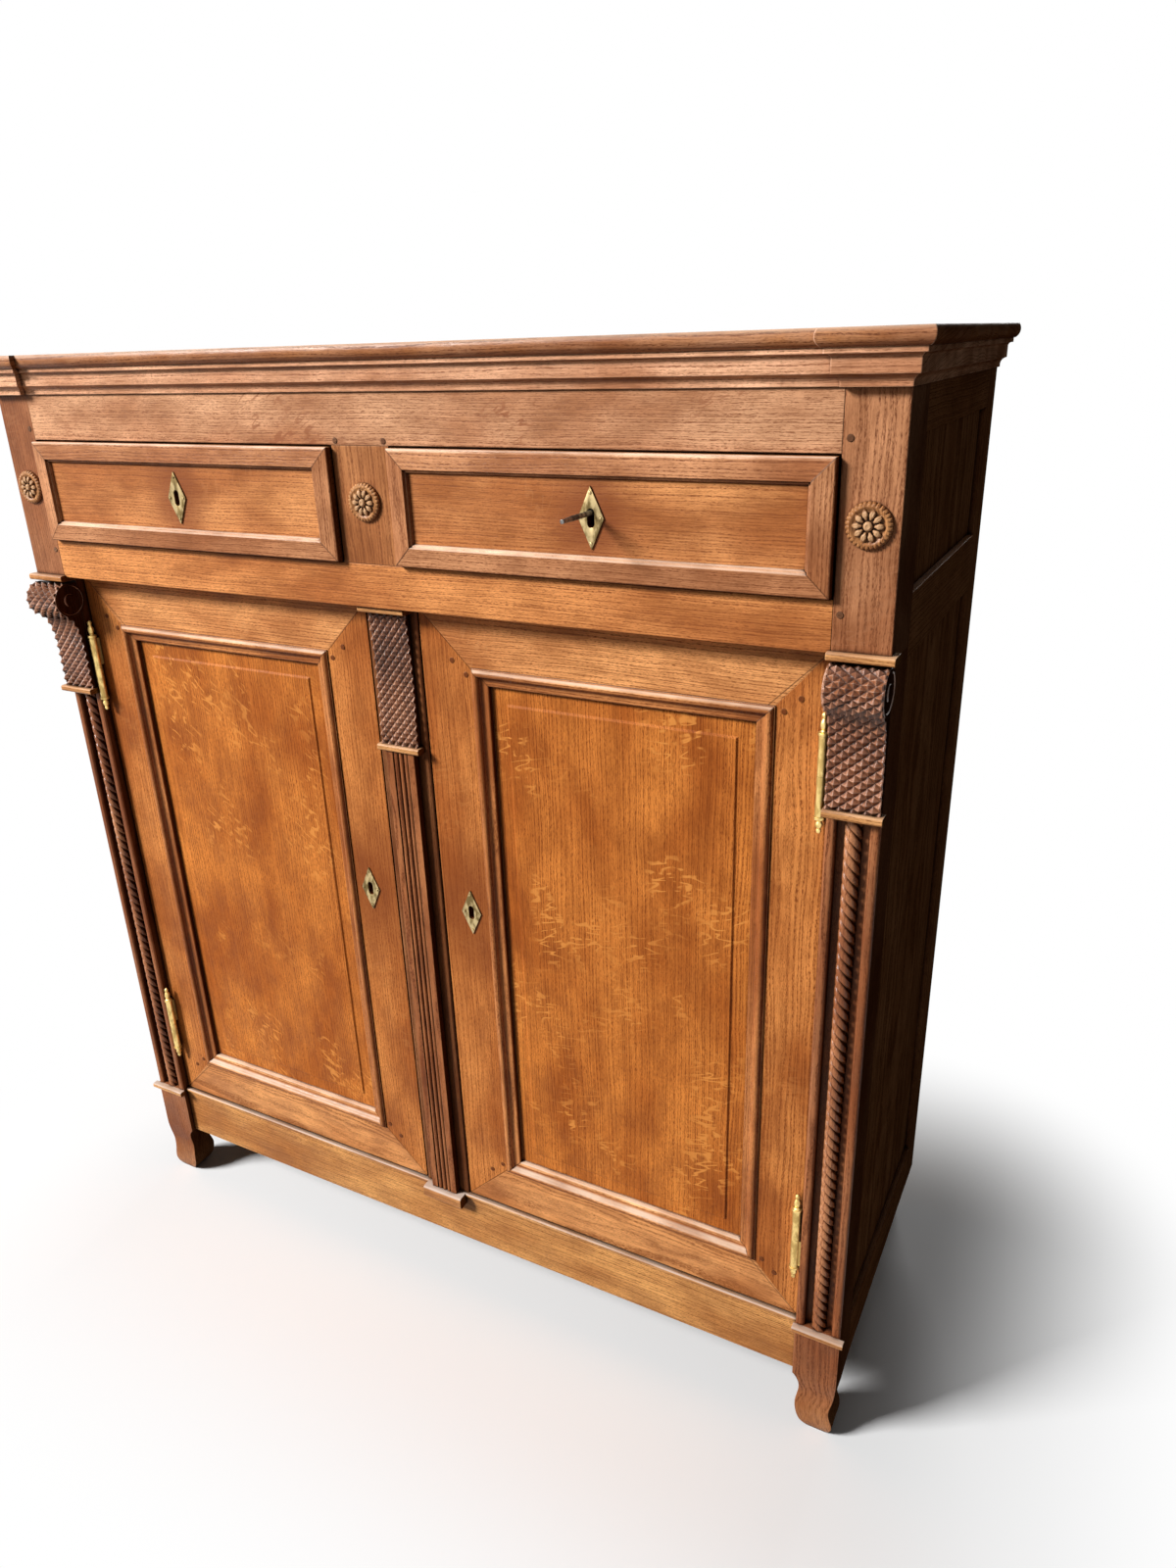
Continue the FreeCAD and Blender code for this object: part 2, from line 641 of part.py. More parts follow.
centre_low_half = strip_half - low_strip_inset
centre_low = rounded_strip(-centre_low_half, centre_low_half, centre_strip_face, muntin_face,
                           centre_console_low - strip_height, centre_console_low)
centre_plinth = rounded_strip(-strip_half, strip_half, bottom_rail_face - plinth_reach, bottom_rail_face,
                              ledge_z - plinth_height, ledge_z, plinth_round)
strips = [centre_cap, centre_low, centre_plinth]
for strip in (cap_strip, low_strip, foot_strip):
    strips += both(strip)
save("carved_strips", *strips)
rope_y = lower_set_back + rope_axis_set_back
channel_floor = lower_set_back + channel_depth
rope = peg(post_middle, rope_y, shaft_low, rope_radius, bottom_strip_low - shaft_low, Z_AXIS)
rope = rope.common(box(post_inner, half_width, 0, channel_floor, shaft_low, bottom_strip_low))
save("rope_columns", *both(rope))
pilaster_face = muntin_face - pilaster_thickness
pilaster_high = centre_console_low - strip_height
pilaster_half = pilaster_width / 2
reed_half = 1.5 * reed_pitch
reed_floor = pilaster_face + reed_sink
reed_length = pilaster_high - ledge_z
pilaster = box(-pilaster_half, pilaster_half, pilaster_face, muntin_face, ledge_z, pilaster_high)
pilaster = pilaster.cut(box(-reed_half, reed_half, pilaster_face, reed_floor, ledge_z, pilaster_high))
reeds = []
for place in (-1, 0, 1):
    reed_y = pilaster_face + reed_radius
    reeds.append(peg(place * reed_pitch, reed_y, ledge_z, reed_radius, reed_length, Z_AXIS))
save("pilaster", fused(pilaster, *reeds))
ledge = rounded_strip(strip_half, post_inner, bottom_rail_face - ledge_reach, bottom_rail_face,
                      ledge_z - ledge_height, ledge_z, ledge_round)
save("ledge_moulding", *both(ledge))
rosettes = []
for x in (-post_middle, 0, post_middle):
    flower = outline(lambda r, y: V(x + r, y, rosette_height), rosette_profile)
    rosettes.append(turned(flower, V(x, 0, rosette_height), Y_AXIS))
save("rosettes", *rosettes)
save("frame_pegs", *frame_pegs)
for name, rail in rails.items():
    if name != "frieze":
        save(name + "_rail", rail)
save("drawer_divider", divider)
save("centre_muntin", muntin)

# Doors: mitred frame, fielded panel, applied moulding, escutcheon, lock and hinge halves
open_left = door_moulding_left + door_moulding_lap
open_right = door_moulding_right - door_moulding_lap
open_low = door_moulding_low + door_moulding_lap
open_high = door_moulding_high - door_moulding_lap
keyhole = obround(door_keyhole_x, door_keyhole_height, keyhole_width, keyhole_height, 0, carcass_depth)
door_pegs = []
door_peg_insets = [(door_right - x, z) for x, z in swing_peg_insets]
door_peg_insets += [(door_left + x, z) for x, z in lock_peg_insets]
for x, z in door_peg_insets:
    for pz in (door_low + z, door_high - z):
        door_pegs.append(peg(x, door_face - peg_proud, pz, peg_radius, peg_depth))
lock_stile = along_y([(door_left, door_low), (open_left, open_low), (open_left, open_high),
                      (door_left, door_high)], door_face, door_back)
swing_stile = along_y([(door_right, door_low), (open_right, open_low), (open_right, open_high),
                       (door_right, door_high)], door_face, door_back)
stiles = [cut_by(lock_stile.cut(keyhole), door_pegs), cut_by(swing_stile, door_pegs + door_leaf_slots)]
low_rail = along_y([(door_left, door_low), (open_left, open_low), (open_right, open_low),
                    (door_right, door_low)], door_face, door_back)
high_rail = along_y([(door_left, door_high), (open_left, open_high), (open_right, open_high),
                     (door_right, door_high)], door_face, door_back)
door_rails = [cut_by(low_rail, door_pegs), cut_by(high_rail, door_pegs)]
panel = box(open_left, open_right, panel_face, panel_face + panel_thickness, open_low, open_high)
field_low = [(door_moulding_left + field_inset, door_moulding_low + field_inset),
             (door_moulding_right - field_inset, door_moulding_high - field_inset)]
field_wires = []
for inset, y in ((0, panel_face), (field_bevel, panel_face - field_rise)):
    (x0, z0), (x1, z1) = field_low
    corners = [V(x0 + inset, y, z0 + inset), V(x1 - inset, y, z0 + inset),
               V(x1 - inset, y, z1 - inset), V(x0 + inset, y, z1 - inset)]
    field_wires.append(Part.makePolygon(corners + corners[:1]))
field = Part.makeLoft(field_wires, True, True)
panel = panel.fuse(field)
moulding = mitred_lengths(door_moulding_left, door_moulding_right, door_moulding_low, door_moulding_high,
                          door_moulding_width, door_moulding_profile)
lock_back = door_back + lock_depth
bolt_y0 = door_back + lock_face_wall + bolt_clearance
bolt_y1 = lock_back - lock_wall - bolt_clearance
lock_low = door_keyhole_height - door_lock_half_height
lock_high = door_keyhole_height + door_lock_half_height
door_lock = box(door_lock_low_x, door_lock_high_x, door_back, lock_back, lock_low, lock_high)
door_lock = door_lock.cut(box(door_lock_low_x + lock_wall, door_lock_high_x - lock_wall,
                              door_back + lock_face_wall, lock_back - lock_wall,
                              lock_low + lock_wall, lock_high - lock_wall))
bolt_mid = door_keyhole_height + keyhole_height / 2 + door_bolt_half_height + 2
bolt_half = door_bolt_half_height
door_lock = door_lock.cut(box(door_lock_low_x - 1, door_lock_low_x + lock_wall + 1,
                              door_back + lock_face_wall, lock_back - lock_wall,
                              bolt_mid - bolt_half - bolt_clearance, bolt_mid + bolt_half + bolt_clearance))
door_lock = door_lock.cut(keyhole.common(box(0, half_width, 0, door_back + lock_face_wall, 0, top_z)))
door_bolt = box(door_lock_low_x + 1, door_lock_high_x - lock_wall - door_bolt_throw, bolt_y0, bolt_y1,
                bolt_mid - bolt_half, bolt_mid + bolt_half)
door_nodes = {
    "stiles": stiles + door_pegs, "rails": door_rails, "panel": [panel], "moulding": moulding,
    "escutcheon": escutcheon(door_keyhole_x, door_keyhole_height, door_face),
    "hinge_halves": door_hinges, "lock": [door_lock], "bolt": [door_bolt],
}
for name, solids in door_nodes.items():
    save("right_door_" + name, *solids)
    save("left_door_" + name, *[mirrored(s) for s in solids])

# Drawers: moulded front, box, lock with a bolt that rises into the frieze
keyhole = obround(drawer_middle, drawer_keyhole_height, keyhole_width, keyhole_height,
                  -key_reach, post_depth)
front = box(drawer_left, drawer_right, drawer_face, drawer_front_back, drawer_low, drawer_high).cut(keyhole)
border = mitred_lengths(drawer_left, drawer_right, drawer_low, drawer_high, drawer_border_width,
                        drawer_border_profile)
side_low = drawer_z + slide_clearance
side_high = side_low + drawer_side_height
side_left = box(drawer_left, drawer_left + drawer_side_thickness, drawer_front_back, drawer_back_depth,
                side_low, side_high)
side_right = box(drawer_right - drawer_side_thickness, drawer_right, drawer_front_back, drawer_back_depth,
                 side_low, side_high)
inside_left = drawer_left + drawer_side_thickness
inside_right = drawer_right - drawer_side_thickness
back = box(inside_left, inside_right, drawer_back_depth - drawer_side_thickness, drawer_back_depth,
           side_low, side_high)
bottom = box(inside_left, inside_right, drawer_front_back, drawer_back_depth - drawer_side_thickness,
             side_low + drawer_bottom_rise, side_low + drawer_bottom_rise + drawer_bottom_thickness)
lock_half = drawer_lock_width / 2
lock_back = drawer_front_back + lock_depth
key_z = drawer_keyhole_height + keyhole_height / 2 - keyhole_width / 2
drawer_lock = box(drawer_middle - lock_half, drawer_middle + lock_half, drawer_front_back, lock_back,
                  drawer_lock_low, drawer_lock_high)
cavity_half = lock_half - lock_wall
drawer_lock = drawer_lock.cut(box(drawer_middle - cavity_half, drawer_middle + cavity_half,
                                  drawer_front_back + lock_face_wall, lock_back - lock_wall,
                                  drawer_lock_low + lock_wall, drawer_lock_high - lock_wall))
bolt_half = drawer_bolt_width / 2
head_y0 = drawer_front_back + lock_face_wall + bolt_clearance
head_y1 = lock_back - lock_wall - bolt_clearance
bolt_slot = box(drawer_middle - bolt_half - bolt_clearance, drawer_middle + bolt_half + bolt_clearance,
                drawer_front_back + lock_face_wall, lock_back - lock_wall,
                drawer_lock_high - lock_wall - 1, drawer_lock_high + 1)
drawer_lock = drawer_lock.cut(bolt_slot)
case_hole = peg(drawer_middle, drawer_front_back - 1, key_z, key_radius + running_clearance,
                lock_face_wall + 2)
bit_half = key_bit_width / 2
slot_half = bit_half + bolt_clearance
bit_slot = box(drawer_middle - slot_half, drawer_middle + slot_half, drawer_front_back - 1,
               drawer_front_back + lock_face_wall + 1, key_z - key_bit_reach - bolt_clearance, key_z)
drawer_lock = drawer_lock.cut(case_hole).cut(bit_slot)
plate_y0 = head_y1 - bolt_plate_thickness
head_low = drawer_lock_high - lock_wall - bolt_head_height
bolt_head = box(drawer_middle - bolt_half, drawer_middle + bolt_half, head_y0, head_y1,
                head_low, drawer_lock_high)
plate_right = drawer_middle + bolt_half + bolt_plate_extra
bolt_plate = box(drawer_middle - bolt_half, plate_right, plate_y0, head_y1,
                 drawer_lock_low + lock_wall + bolt_plate_rise,
                 drawer_lock_high - lock_wall - drawer_bolt_throw - bolt_clearance)
tooth_low = key_z - bolt_tooth_drop
bolt_tooth = box(drawer_middle + bolt_tooth_inset, plate_right, head_y0, head_y1,
                 tooth_low, tooth_low + bolt_tooth_height)
drawer_bolt = fused(bolt_head, bolt_plate, bolt_tooth)
drawer_nodes = {
    "front": [front], "border": border, "sides": [side_left, side_right, back], "bottom": [bottom],
    "escutcheon": escutcheon(drawer_middle, drawer_keyhole_height, drawer_face),
    "lock": [drawer_lock], "bolt": [drawer_bolt],
}
for name, solids in drawer_nodes.items():
    save("right_drawer_" + name, *solids)
    save("left_drawer_" + name, *[mirrored(s) for s in solids])

# The key stands in the right drawer's lock, its bit hanging down inside the case
key_inner = plate_y0 - key_end_gap
key_end = V(drawer_middle, -key_reach, key_z)
key_shank = Part.makeCone(key_tip_radius, key_radius, key_taper_length, key_end, Y_AXIS)
key_stem = peg(drawer_middle, -key_reach + key_taper_length, key_z, key_radius,
               key_inner + key_reach - key_taper_length)
bit_y0 = drawer_front_back + lock_face_wall + bolt_clearance
key_bit = box(drawer_middle - bit_half, drawer_middle + bit_half, bit_y0, bit_y0 + key_bit_length,
              key_z - key_bit_reach, key_z)
save("key", fused(key_shank, key_stem, key_bit))

# The frieze has a mortise above each drawer's lock for its bolt
mortise = box(drawer_middle - bolt_half - mortise_clearance, drawer_middle + bolt_half + mortise_clearance,
              head_y0 - mortise_clearance, head_y1 + mortise_clearance, frieze_z,
              drawer_lock_high + drawer_bolt_throw + mortise_clearance)
save("frieze_rail", cut_by(rails["frieze"], both(mortise)))
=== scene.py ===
# %% [markdown]
# # Dressing an old oak buffet
# The imported model holds every board, moulding, hinge and lock of the buffet at its real size.
# This lesson gives them their looks: waxed oak with grain, pores and ray flecks, aged brass,
# iron and steel, and the carving that a chisel cut on the real piece.
# The model is loaded first, as a fixed frame. Its box is kept for the floor, which turns white beyond it.

# %% Load the frame and keep its box
import math

import bmesh
import bpy
from mathutils import Matrix, Quaternion, Vector


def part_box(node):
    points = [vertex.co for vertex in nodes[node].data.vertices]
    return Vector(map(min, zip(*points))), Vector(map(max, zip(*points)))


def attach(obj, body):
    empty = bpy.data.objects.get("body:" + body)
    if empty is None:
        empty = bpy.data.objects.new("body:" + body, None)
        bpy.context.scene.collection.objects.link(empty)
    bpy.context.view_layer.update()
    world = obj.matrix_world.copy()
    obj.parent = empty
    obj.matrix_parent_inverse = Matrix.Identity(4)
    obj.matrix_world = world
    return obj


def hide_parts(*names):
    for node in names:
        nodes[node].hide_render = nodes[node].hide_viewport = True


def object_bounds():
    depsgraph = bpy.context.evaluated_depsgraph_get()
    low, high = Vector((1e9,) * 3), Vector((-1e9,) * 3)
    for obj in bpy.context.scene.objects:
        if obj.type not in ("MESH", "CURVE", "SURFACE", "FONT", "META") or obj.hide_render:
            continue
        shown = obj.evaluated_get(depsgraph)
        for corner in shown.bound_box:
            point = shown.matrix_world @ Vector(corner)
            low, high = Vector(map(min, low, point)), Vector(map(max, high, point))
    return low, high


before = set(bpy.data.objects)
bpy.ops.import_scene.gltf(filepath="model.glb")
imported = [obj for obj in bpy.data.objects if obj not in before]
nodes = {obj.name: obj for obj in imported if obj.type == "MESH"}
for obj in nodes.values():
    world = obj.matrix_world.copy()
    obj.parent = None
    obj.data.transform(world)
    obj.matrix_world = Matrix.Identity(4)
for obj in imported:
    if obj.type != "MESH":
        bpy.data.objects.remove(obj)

MM = 0.001
frame_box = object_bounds()
print("loaded", len(nodes), "nodes, box", [tuple(round(v, 4) for v in corner) for corner in frame_box])

# %% [markdown]
# The camera stands where the photograph was taken from: at head height, to the right of the middle,
# close to the buffet and looking down at it. The buffet's straight edges gave its place, aim and lens,
# and a small roll.

# %% Camera at the photograph's place
eye = Vector((0.8728, -1.2938, 1.4675))
aim = Vector((0.2873, -0.2000, 0.95754))
camera_roll = math.radians(-1.845)
lens_length = 24.762
sensor_width = 36.0

camera_data = bpy.data.cameras.new("camera")
camera_data.lens = lens_length
camera_data.sensor_width = sensor_width
camera = bpy.data.objects.new("camera", camera_data)
bpy.context.scene.collection.objects.link(camera)
camera.rotation_mode = "QUATERNION"
camera.rotation_quaternion = (aim - eye).to_track_quat("-Z", "Y") @ Quaternion((0, 0, 1), camera_roll)
camera.location = eye
bpy.context.scene.camera = camera
bpy.context.scene.view_settings.view_transform = "Standard"
print("camera stands", round((aim - eye).length, 2), "m from its aim")

# %% [markdown]
# A finish is a small network of shader nodes. Wiring it by hand is slow to read, so one class
# wraps a node's output and lets it take part in Python sums: `1 - mask` adds a Math node.
# Every other node comes from its one method `add`, which sets the node first and then fills
# its inputs with values or with other wires.

# %% Wires between shader nodes
class Wire:
    """One output of a shader node, used in sums as a number is."""

    def __init__(self, socket):
        self.socket = socket

    def add(self, kind, settings=None, sockets=None, output=0):
        """Adds a shader node to the network: settings first, then values or wires for its inputs."""
        network = self.socket.id_data
        node = network.nodes.new("ShaderNode" + kind)
        for name, value in (settings or {}).items():
            setattr(node, name, value)
        for key, value in (sockets or {}).items():
            target = node.inputs[key]
            if isinstance(value, Wire):
                network.links.new(value.socket, target)
            elif target.type == "RGBA":
                target.default_value = (*value, 1.0)
            else:
                target.default_value = value
        return Wire(node.outputs[output]) if node.outputs else None

    def other(self, output):
        """Another output of the same node."""
        return Wire(self.socket.node.outputs[output])

    def sum(self, operation, first, second=0.0):
        """Maths with numbers."""
        return self.add("Math", {"operation": operation}, {0: first, 1: second})

    def vector(self, operation, *vectors):
        """Maths with vectors. A length and a dot product come out as numbers."""
        output = "Value" if operation in ("LENGTH", "DOT_PRODUCT") else "Vector"
        return self.add("VectorMath", {"operation": operation}, dict(enumerate(vectors)), output)

    def __add__(self, value):
        return self.sum("ADD", self, value)

    def __sub__(self, value):
        return self.sum("SUBTRACT", self, value)

    def __rsub__(self, value):
        return self.sum("SUBTRACT", value, self)

    def __mul__(self, value):
        return self.sum("MULTIPLY", self, value)

    def __gt__(self, value):
        return self.sum("GREATER_THAN", self, value)

    def __abs__(self):
        return self.sum("ABSOLUTE", self)

    __radd__ = __add__
    __rmul__ = __mul__


print("wires are ready")

# %% [markdown]
# Short helpers serve every finish. Colours go through Mix nodes, because a Math node would turn them
# grey. A finish starts from the piece's own coordinates, so its pattern moves with the piece.

# %% Helpers for colours and finishes
def parts_of(vector):
    """The x, y and z of a vector."""
    x = vector.add("SeparateXYZ", {}, {0: vector})
    return x, x.other("Y"), x.other("Z")


def rise(wire, low, high):
    """0 below low, 1 above high and a smooth rise between; a fall where low is the larger."""
    return wire.add("MapRange", {"interpolation_type": "SMOOTHSTEP"},
                    {"Value": wire, "From Min": low, "From Max": high})


def mixed(share, first, second):
    """A colour between two colours. A Mix node takes them at 6 and 7 and gives the mix at 2."""
    return share.add("Mix", {"data_type": "RGBA"}, {0: share, 6: first, 7: second}, 2)


def shaded(colour, factors):
    """A colour that varies, times a fixed factor for each of red, green and blue."""
    return colour.add("Mix", {"data_type": "RGBA", "blend_type": "MULTIPLY"},
                      {0: 1.0, 6: colour, 7: factors}, 2)


def times(tone, factors):
    """A fixed colour times a factor for each of red, green and blue."""
    return tuple(t * f for t, f in zip(tone, factors))


def seen_or_mirrored(path):
    """1 for rays from the camera and for those that gloss or glass sends on, 0 for other light."""
    return path + path.other("Is Glossy Ray") + path.other("Is Transmission Ray")


def new_finish(name):
    """An empty material, and a wire with the piece's own coordinates."""
    finish = bpy.data.materials.new(name)
    finish.use_nodes = True
    finish.node_tree.nodes.clear()
    coordinates = finish.node_tree.nodes.new("ShaderNodeTexCoord")
    return finish, Wire(coordinates.outputs["Object"])


def end_finish(place, surface):
    """Closes a material with the surface that it shows."""
    place.add("OutputMaterial", {}, {"Surface": surface})


print("helpers for finishes are ready")

# %% [markdown]
# The buffet stands on a plain pale floor. Near its feet the floor is an ordinary matt surface
# that takes the shadow, and further out it turns into plain white for the camera, so that floor
# and background become one, as on a sheet of studio paper. For light that bounces on to the
# buffet the floor is darker than it looks, so the undersides and the right side keep their shade.

# %% Pale floor
floor_size = 16.0
shadow_reach = 0.02
white_reach = 0.50
WHITE = (1.0, 1.0, 1.0)
paper_tone = (0.88, 0.88, 0.88)
bounce_tone = (0.22, 0.19, 0.16)

bpy.ops.object.select_all(action="DESELECT")
bpy.ops.mesh.primitive_plane_add(size=floor_size)
floor = bpy.context.object
floor.name = "pale_floor"
paper, place = new_finish("studio_paper")
past_box = place.vector("SUBTRACT", place.vector("ABSOLUTE", place), frame_box[1])
distance = place.vector("LENGTH", place.vector("MAXIMUM", past_box, (0, 0, 0)))
matt = place.add("BsdfDiffuse", {}, {"Color": paper_tone})
white = place.add("Emission", {}, {"Color": WHITE, "Strength": 1.0})
bounce = place.add("BsdfDiffuse", {}, {"Color": bounce_tone})
whiteness = rise(distance, shadow_reach, white_reach)
sheet = place.add("MixShader", {}, {0: whiteness, 1: matt, 2: white})
seen = seen_or_mirrored(place.add("LightPath"))
end_finish(place, place.add("MixShader", {}, {0: seen, 1: bounce, 2: sheet}))
floor.data.materials.append(paper)
print("floor is white from", white_reach, "m")

# %% [markdown]
# In the photograph soft light falls from the left, in front and above, as from a window. So the
# left end of the front is the brightest, right-hand edges throw dark shadows and the right side
# lies in deep shade. One soft panel gives that light. A second, weak one behind the buffet shows
# the boards of its back, and hardly reaches the sides.

# %% Window light and back light
window_size = 2.7
window_watts = 1740.0
window_place = Vector((-6.41, -6.18, 6.44))
back_light_size = 2.0
back_light_watts = 60.0
back_light_place = Vector((0.0, 4.2, 2.2))
light_aim = Vector((0.0, -0.2, 0.75))


def soft_panel(name, place, size, watts):
    """A square panel of light that is turned to the buffet."""
    bpy.ops.object.select_all(action="DESELECT")
    bpy.ops.object.light_add(type="AREA", location=place)
    panel = bpy.context.object
    panel.name = name
    panel.data.shape = "SQUARE"
    panel.data.size = size
    panel.data.energy = watts
    panel.rotation_mode = "QUATERNION"
    panel.rotation_quaternion = (light_aim - place).to_track_quat("-Z", "Y")
    print(name, "is", round((light_aim - place).length, 2), "m away")


soft_panel("window_light", window_place, window_size, window_watts)
soft_panel("back_light", back_light_place, back_light_size, back_light_watts)

# %% [markdown]
# The world adds a very weak fill, so that deep shade isn't black. For the camera and in reflections
# it is plain white, as the floor is, which the Light Path node decides for each ray.

# %% Fill light and white background
fill_strength = 0.045
fill_tone = (1.0, 0.97, 0.94)

world = bpy.data.worlds.new("studio")
bpy.context.scene.world = world
world.use_nodes = True
world.node_tree.nodes.clear()
path = Wire(world.node_tree.nodes.new("ShaderNodeLightPath").outputs["Is Camera Ray"])
fill = path.add("Background", {}, {"Color": fill_tone, "Strength": fill_strength})
backdrop = path.add("Background", {}, {"Color": WHITE, "Strength": 1.0})
sky = path.add("MixShader", {}, {0: seen_or_mirrored(path), 1: fill, 2: backdrop})
path.add("OutputWorld", {}, {"Surface": sky})
print("fill light is", fill_strength, "of the white background")

# %% [markdown]
# Oak shows four things at once: rings that run along the board, fine dark pores in short dashes,
# pale ray flecks where the board was sawn through the tree's heart, and slow changes of tone.
# Each is a noise stretched along the grain. The rings are measured from a heart line beside or
# behind the board, so they turn into the arches of a flat-sawn board without any painting.

# %% Boards and their grain
RING_WIDTH = 1.9
HEART_TAPER = 0.03


def board_of(place, grain):
    """A board's own coordinates in millimetres: across, through and along its grain.

    The grain names the axes along, across and through: "zxy" runs along z and lies across x."""
    axes = dict(zip("xyz", parts_of(place)))
    along, across, through = (axes[axis] for axis in grain)
    return place.add("CombineXYZ", {},
                     {0: across * (1 / MM), 1: through * (1 / MM), 2: along * (1 / MM)})


def figure(board, across, along, seed, detail=2.0, twist=0.0):
    """Noise from 0 to 1 with features so many millimetres across and along the grain."""
    stretch = (1 / across, 1 / across, 1 / along)
    stretched = board.vector("MULTIPLY_ADD", board, stretch, (seed, 2 * seed, 3 * seed))
    return board.add("TexNoise", {},
                     {"Vector": stretched, "Scale": 1.0, "Detail": detail, "Distortion": twist})


def rings(board, heart, seed):
    """Growth rings round a heart line, from 0 to 1, that wander a little along the board."""
    from_heart = board.vector("MULTIPLY_ADD", board, (1, 1, HEART_TAPER), (-heart[0], -heart[1], 0))
    radius = board.vector("LENGTH", from_heart)
    wander = figure(board, 70, 340, seed) * 15 + figure(board, 14, 60, seed + 1) * 3
    return board.add("TexNoise", {"noise_dimensions": "1D"},
                     {"W": (radius + wander) * (1 / RING_WIDTH), "Scale": 1.0, "Detail": 1.5})


def ray_flecks(board, seed, slant):
    """Thin wavy flecks that lie across the grain at a slant, broken up and in loose groups."""
    slanted = board.add("VectorRotate", {"rotation_type": "Y_AXIS"},
                        {"Vector": board, "Angle": math.radians(slant)})
    waves = figure(slanted, 46, 12, seed, 1.0, 0.3)
    lines = rise(abs(waves - 0.5), 0.050, 0.016)
    groups = rise(figure(board, 80, 130, seed + 2, 1.0), 0.46, 0.68)
    gaps = rise(figure(slanted, 15, 22, seed + 6, 1.0), 0.42, 0.54)
    return lines * groups * gaps


print("grain helpers are ready")

# %% [markdown]
# Some looks belong to a place: the grain turns at the mitre of a frame, and hands have darkened the
# oak round a keyhole. Such a place could be painted on a map. Here it is worked out from the
# coordinates, so it follows the piece's own sizes.

# %% Places on a board
PLANK_SHIFT = (37, 510)


def mitre_of(place, frame_low, frame_high):
    """How far a point lies on the upright side of a frame's mitre lines, in millimetres."""
    x, _, z = parts_of(place)
    middle = (Vector(frame_low) + Vector(frame_high)) / 2
    half = (Vector(frame_high) - Vector(frame_low)) / 2
    from_side = abs(x - middle.x) - half.x
    from_end = abs(z - middle.z) - half.z
    return (from_side - from_end) * (1 / MM)


def near(place, middle, reach):
    """1 at a place on the front and 0 beyond a reach, longer up and down than across."""
    offset = place.vector("MULTIPLY", place.vector("SUBTRACT", place, middle), (1, 0, 0.7))
    return rise(place.vector("LENGTH", offset), reach, 0.15 * reach)


def between(height, low, high):
    """1 between two heights and 0 outside them, with edges one millimetre soft."""
    soft = 0.5 * MM
    return rise(height, low - soft, low + soft) * rise(height, high + soft, high - soft)


def plank_at(board, first_edge, plank_width):
    """The number of the plank at a point, and the board with a grain of its own in each plank."""
    across, _, _ = parts_of(board)
    number = across.sum("FLOOR", (across - first_edge) * (1 / plank_width))
    through, along = PLANK_SHIFT
    shift = board.add("CombineXYZ", {}, {1: number * through, 2: number * along})
    return number, board.vector("ADD", board, shift)


print("places on boards are ready")

# %% [markdown]
# The wood's own colour is one tone, times factors for dark and pale rings and fibres and for the
# slow clouds over a board. Old pores hold dirt, so they are darker and redder than the wood.
# Factors keep the finishes alike: a new tone needs one colour and no new set of shades.

# %% The colour of oak
DARK_GRAIN = (0.60, 0.52, 0.44)
PALE_GRAIN = (1.48, 1.58, 1.64)
DARK_CLOUD = (0.70, 0.57, 0.46)
PALE_CLOUD = (1.22, 1.28, 1.28)
DARK_PLANK = (0.76, 0.74, 0.72)
PALE_PLANK = (1.16, 1.16, 1.16)
OPEN_PORE = (0.46, 0.34, 0.26)


def grain_marks(board, heart, seed):
    """Masks of a board's rings, pores, fibres, slow clouds and smaller patches."""
    ring = rise(rings(board, heart, seed), 0.34, 0.58)
    dashes = rise(figure(board, 1.0, 6, seed + 3, 2.0), 0.44, 0.60)
    pinholes = rise(figure(board, 0.8, 3.6, seed + 4, 1.0), 0.50, 0.64)
    pore = dashes * (1.0 - ring * 0.8) * 0.80 + pinholes * (0.60 - ring * 0.3)
    fibre = rise(figure(board, 1.3, 20, seed + 5, 3.0), 0.32, 0.68)
    cloud = rise(figure(board, 90, 210, seed + 7, 3.0), 0.32, 0.68)
    patch = rise(figure(board, 30, 60, seed + 9, 3.0), 0.30, 0.70)
    return ring, pore, fibre, cloud, patch


def oak_colour(tone, marks, cloudy, plank):
    """The colour of a board from its marks, with a tone for each plank where there are planks."""
    ring, pore, fibre, cloud, patch = marks
    level = ring * 0.28 + fibre * 0.36 + patch * 0.36
    colour = mixed(level, times(tone, DARK_GRAIN), times(tone, PALE_GRAIN))
    cloud = (cloud - 0.5) * cloudy + 0.5
    colour = mixed(cloud, shaded(colour, DARK_CLOUD), shaded(colour, PALE_CLOUD))
    if plank:
        chance = plank.add("TexWhiteNoise", {"noise_dimensions": "1D"}, {"W": plank})
        colour = mixed(chance, shaded(colour, DARK_PLANK), shaded(colour, PALE_PLANK))
    return mixed(rise(pore, 0.05, 1.05), colour, times(tone, OPEN_PORE))


print("oak colours are ready")

# %% [markdown]
# Wax has darkened the corners of the real piece, and hands have rubbed its edges pale. The same
# masks also paint shade into corners and gaps, and highlights along edges. Ambient occlusion finds
# the corners, and the edges are found by comparing a bevelled normal with the plain one. Both work
# on any shape, which painting each moulding by hand would not.

# %% Worn edges with painted highlights, waxed corners with painted shade
EDGE_RADIUS = 1.6 * MM
EDGE_SAMPLES = 4
CORNER_SAMPLES = 8


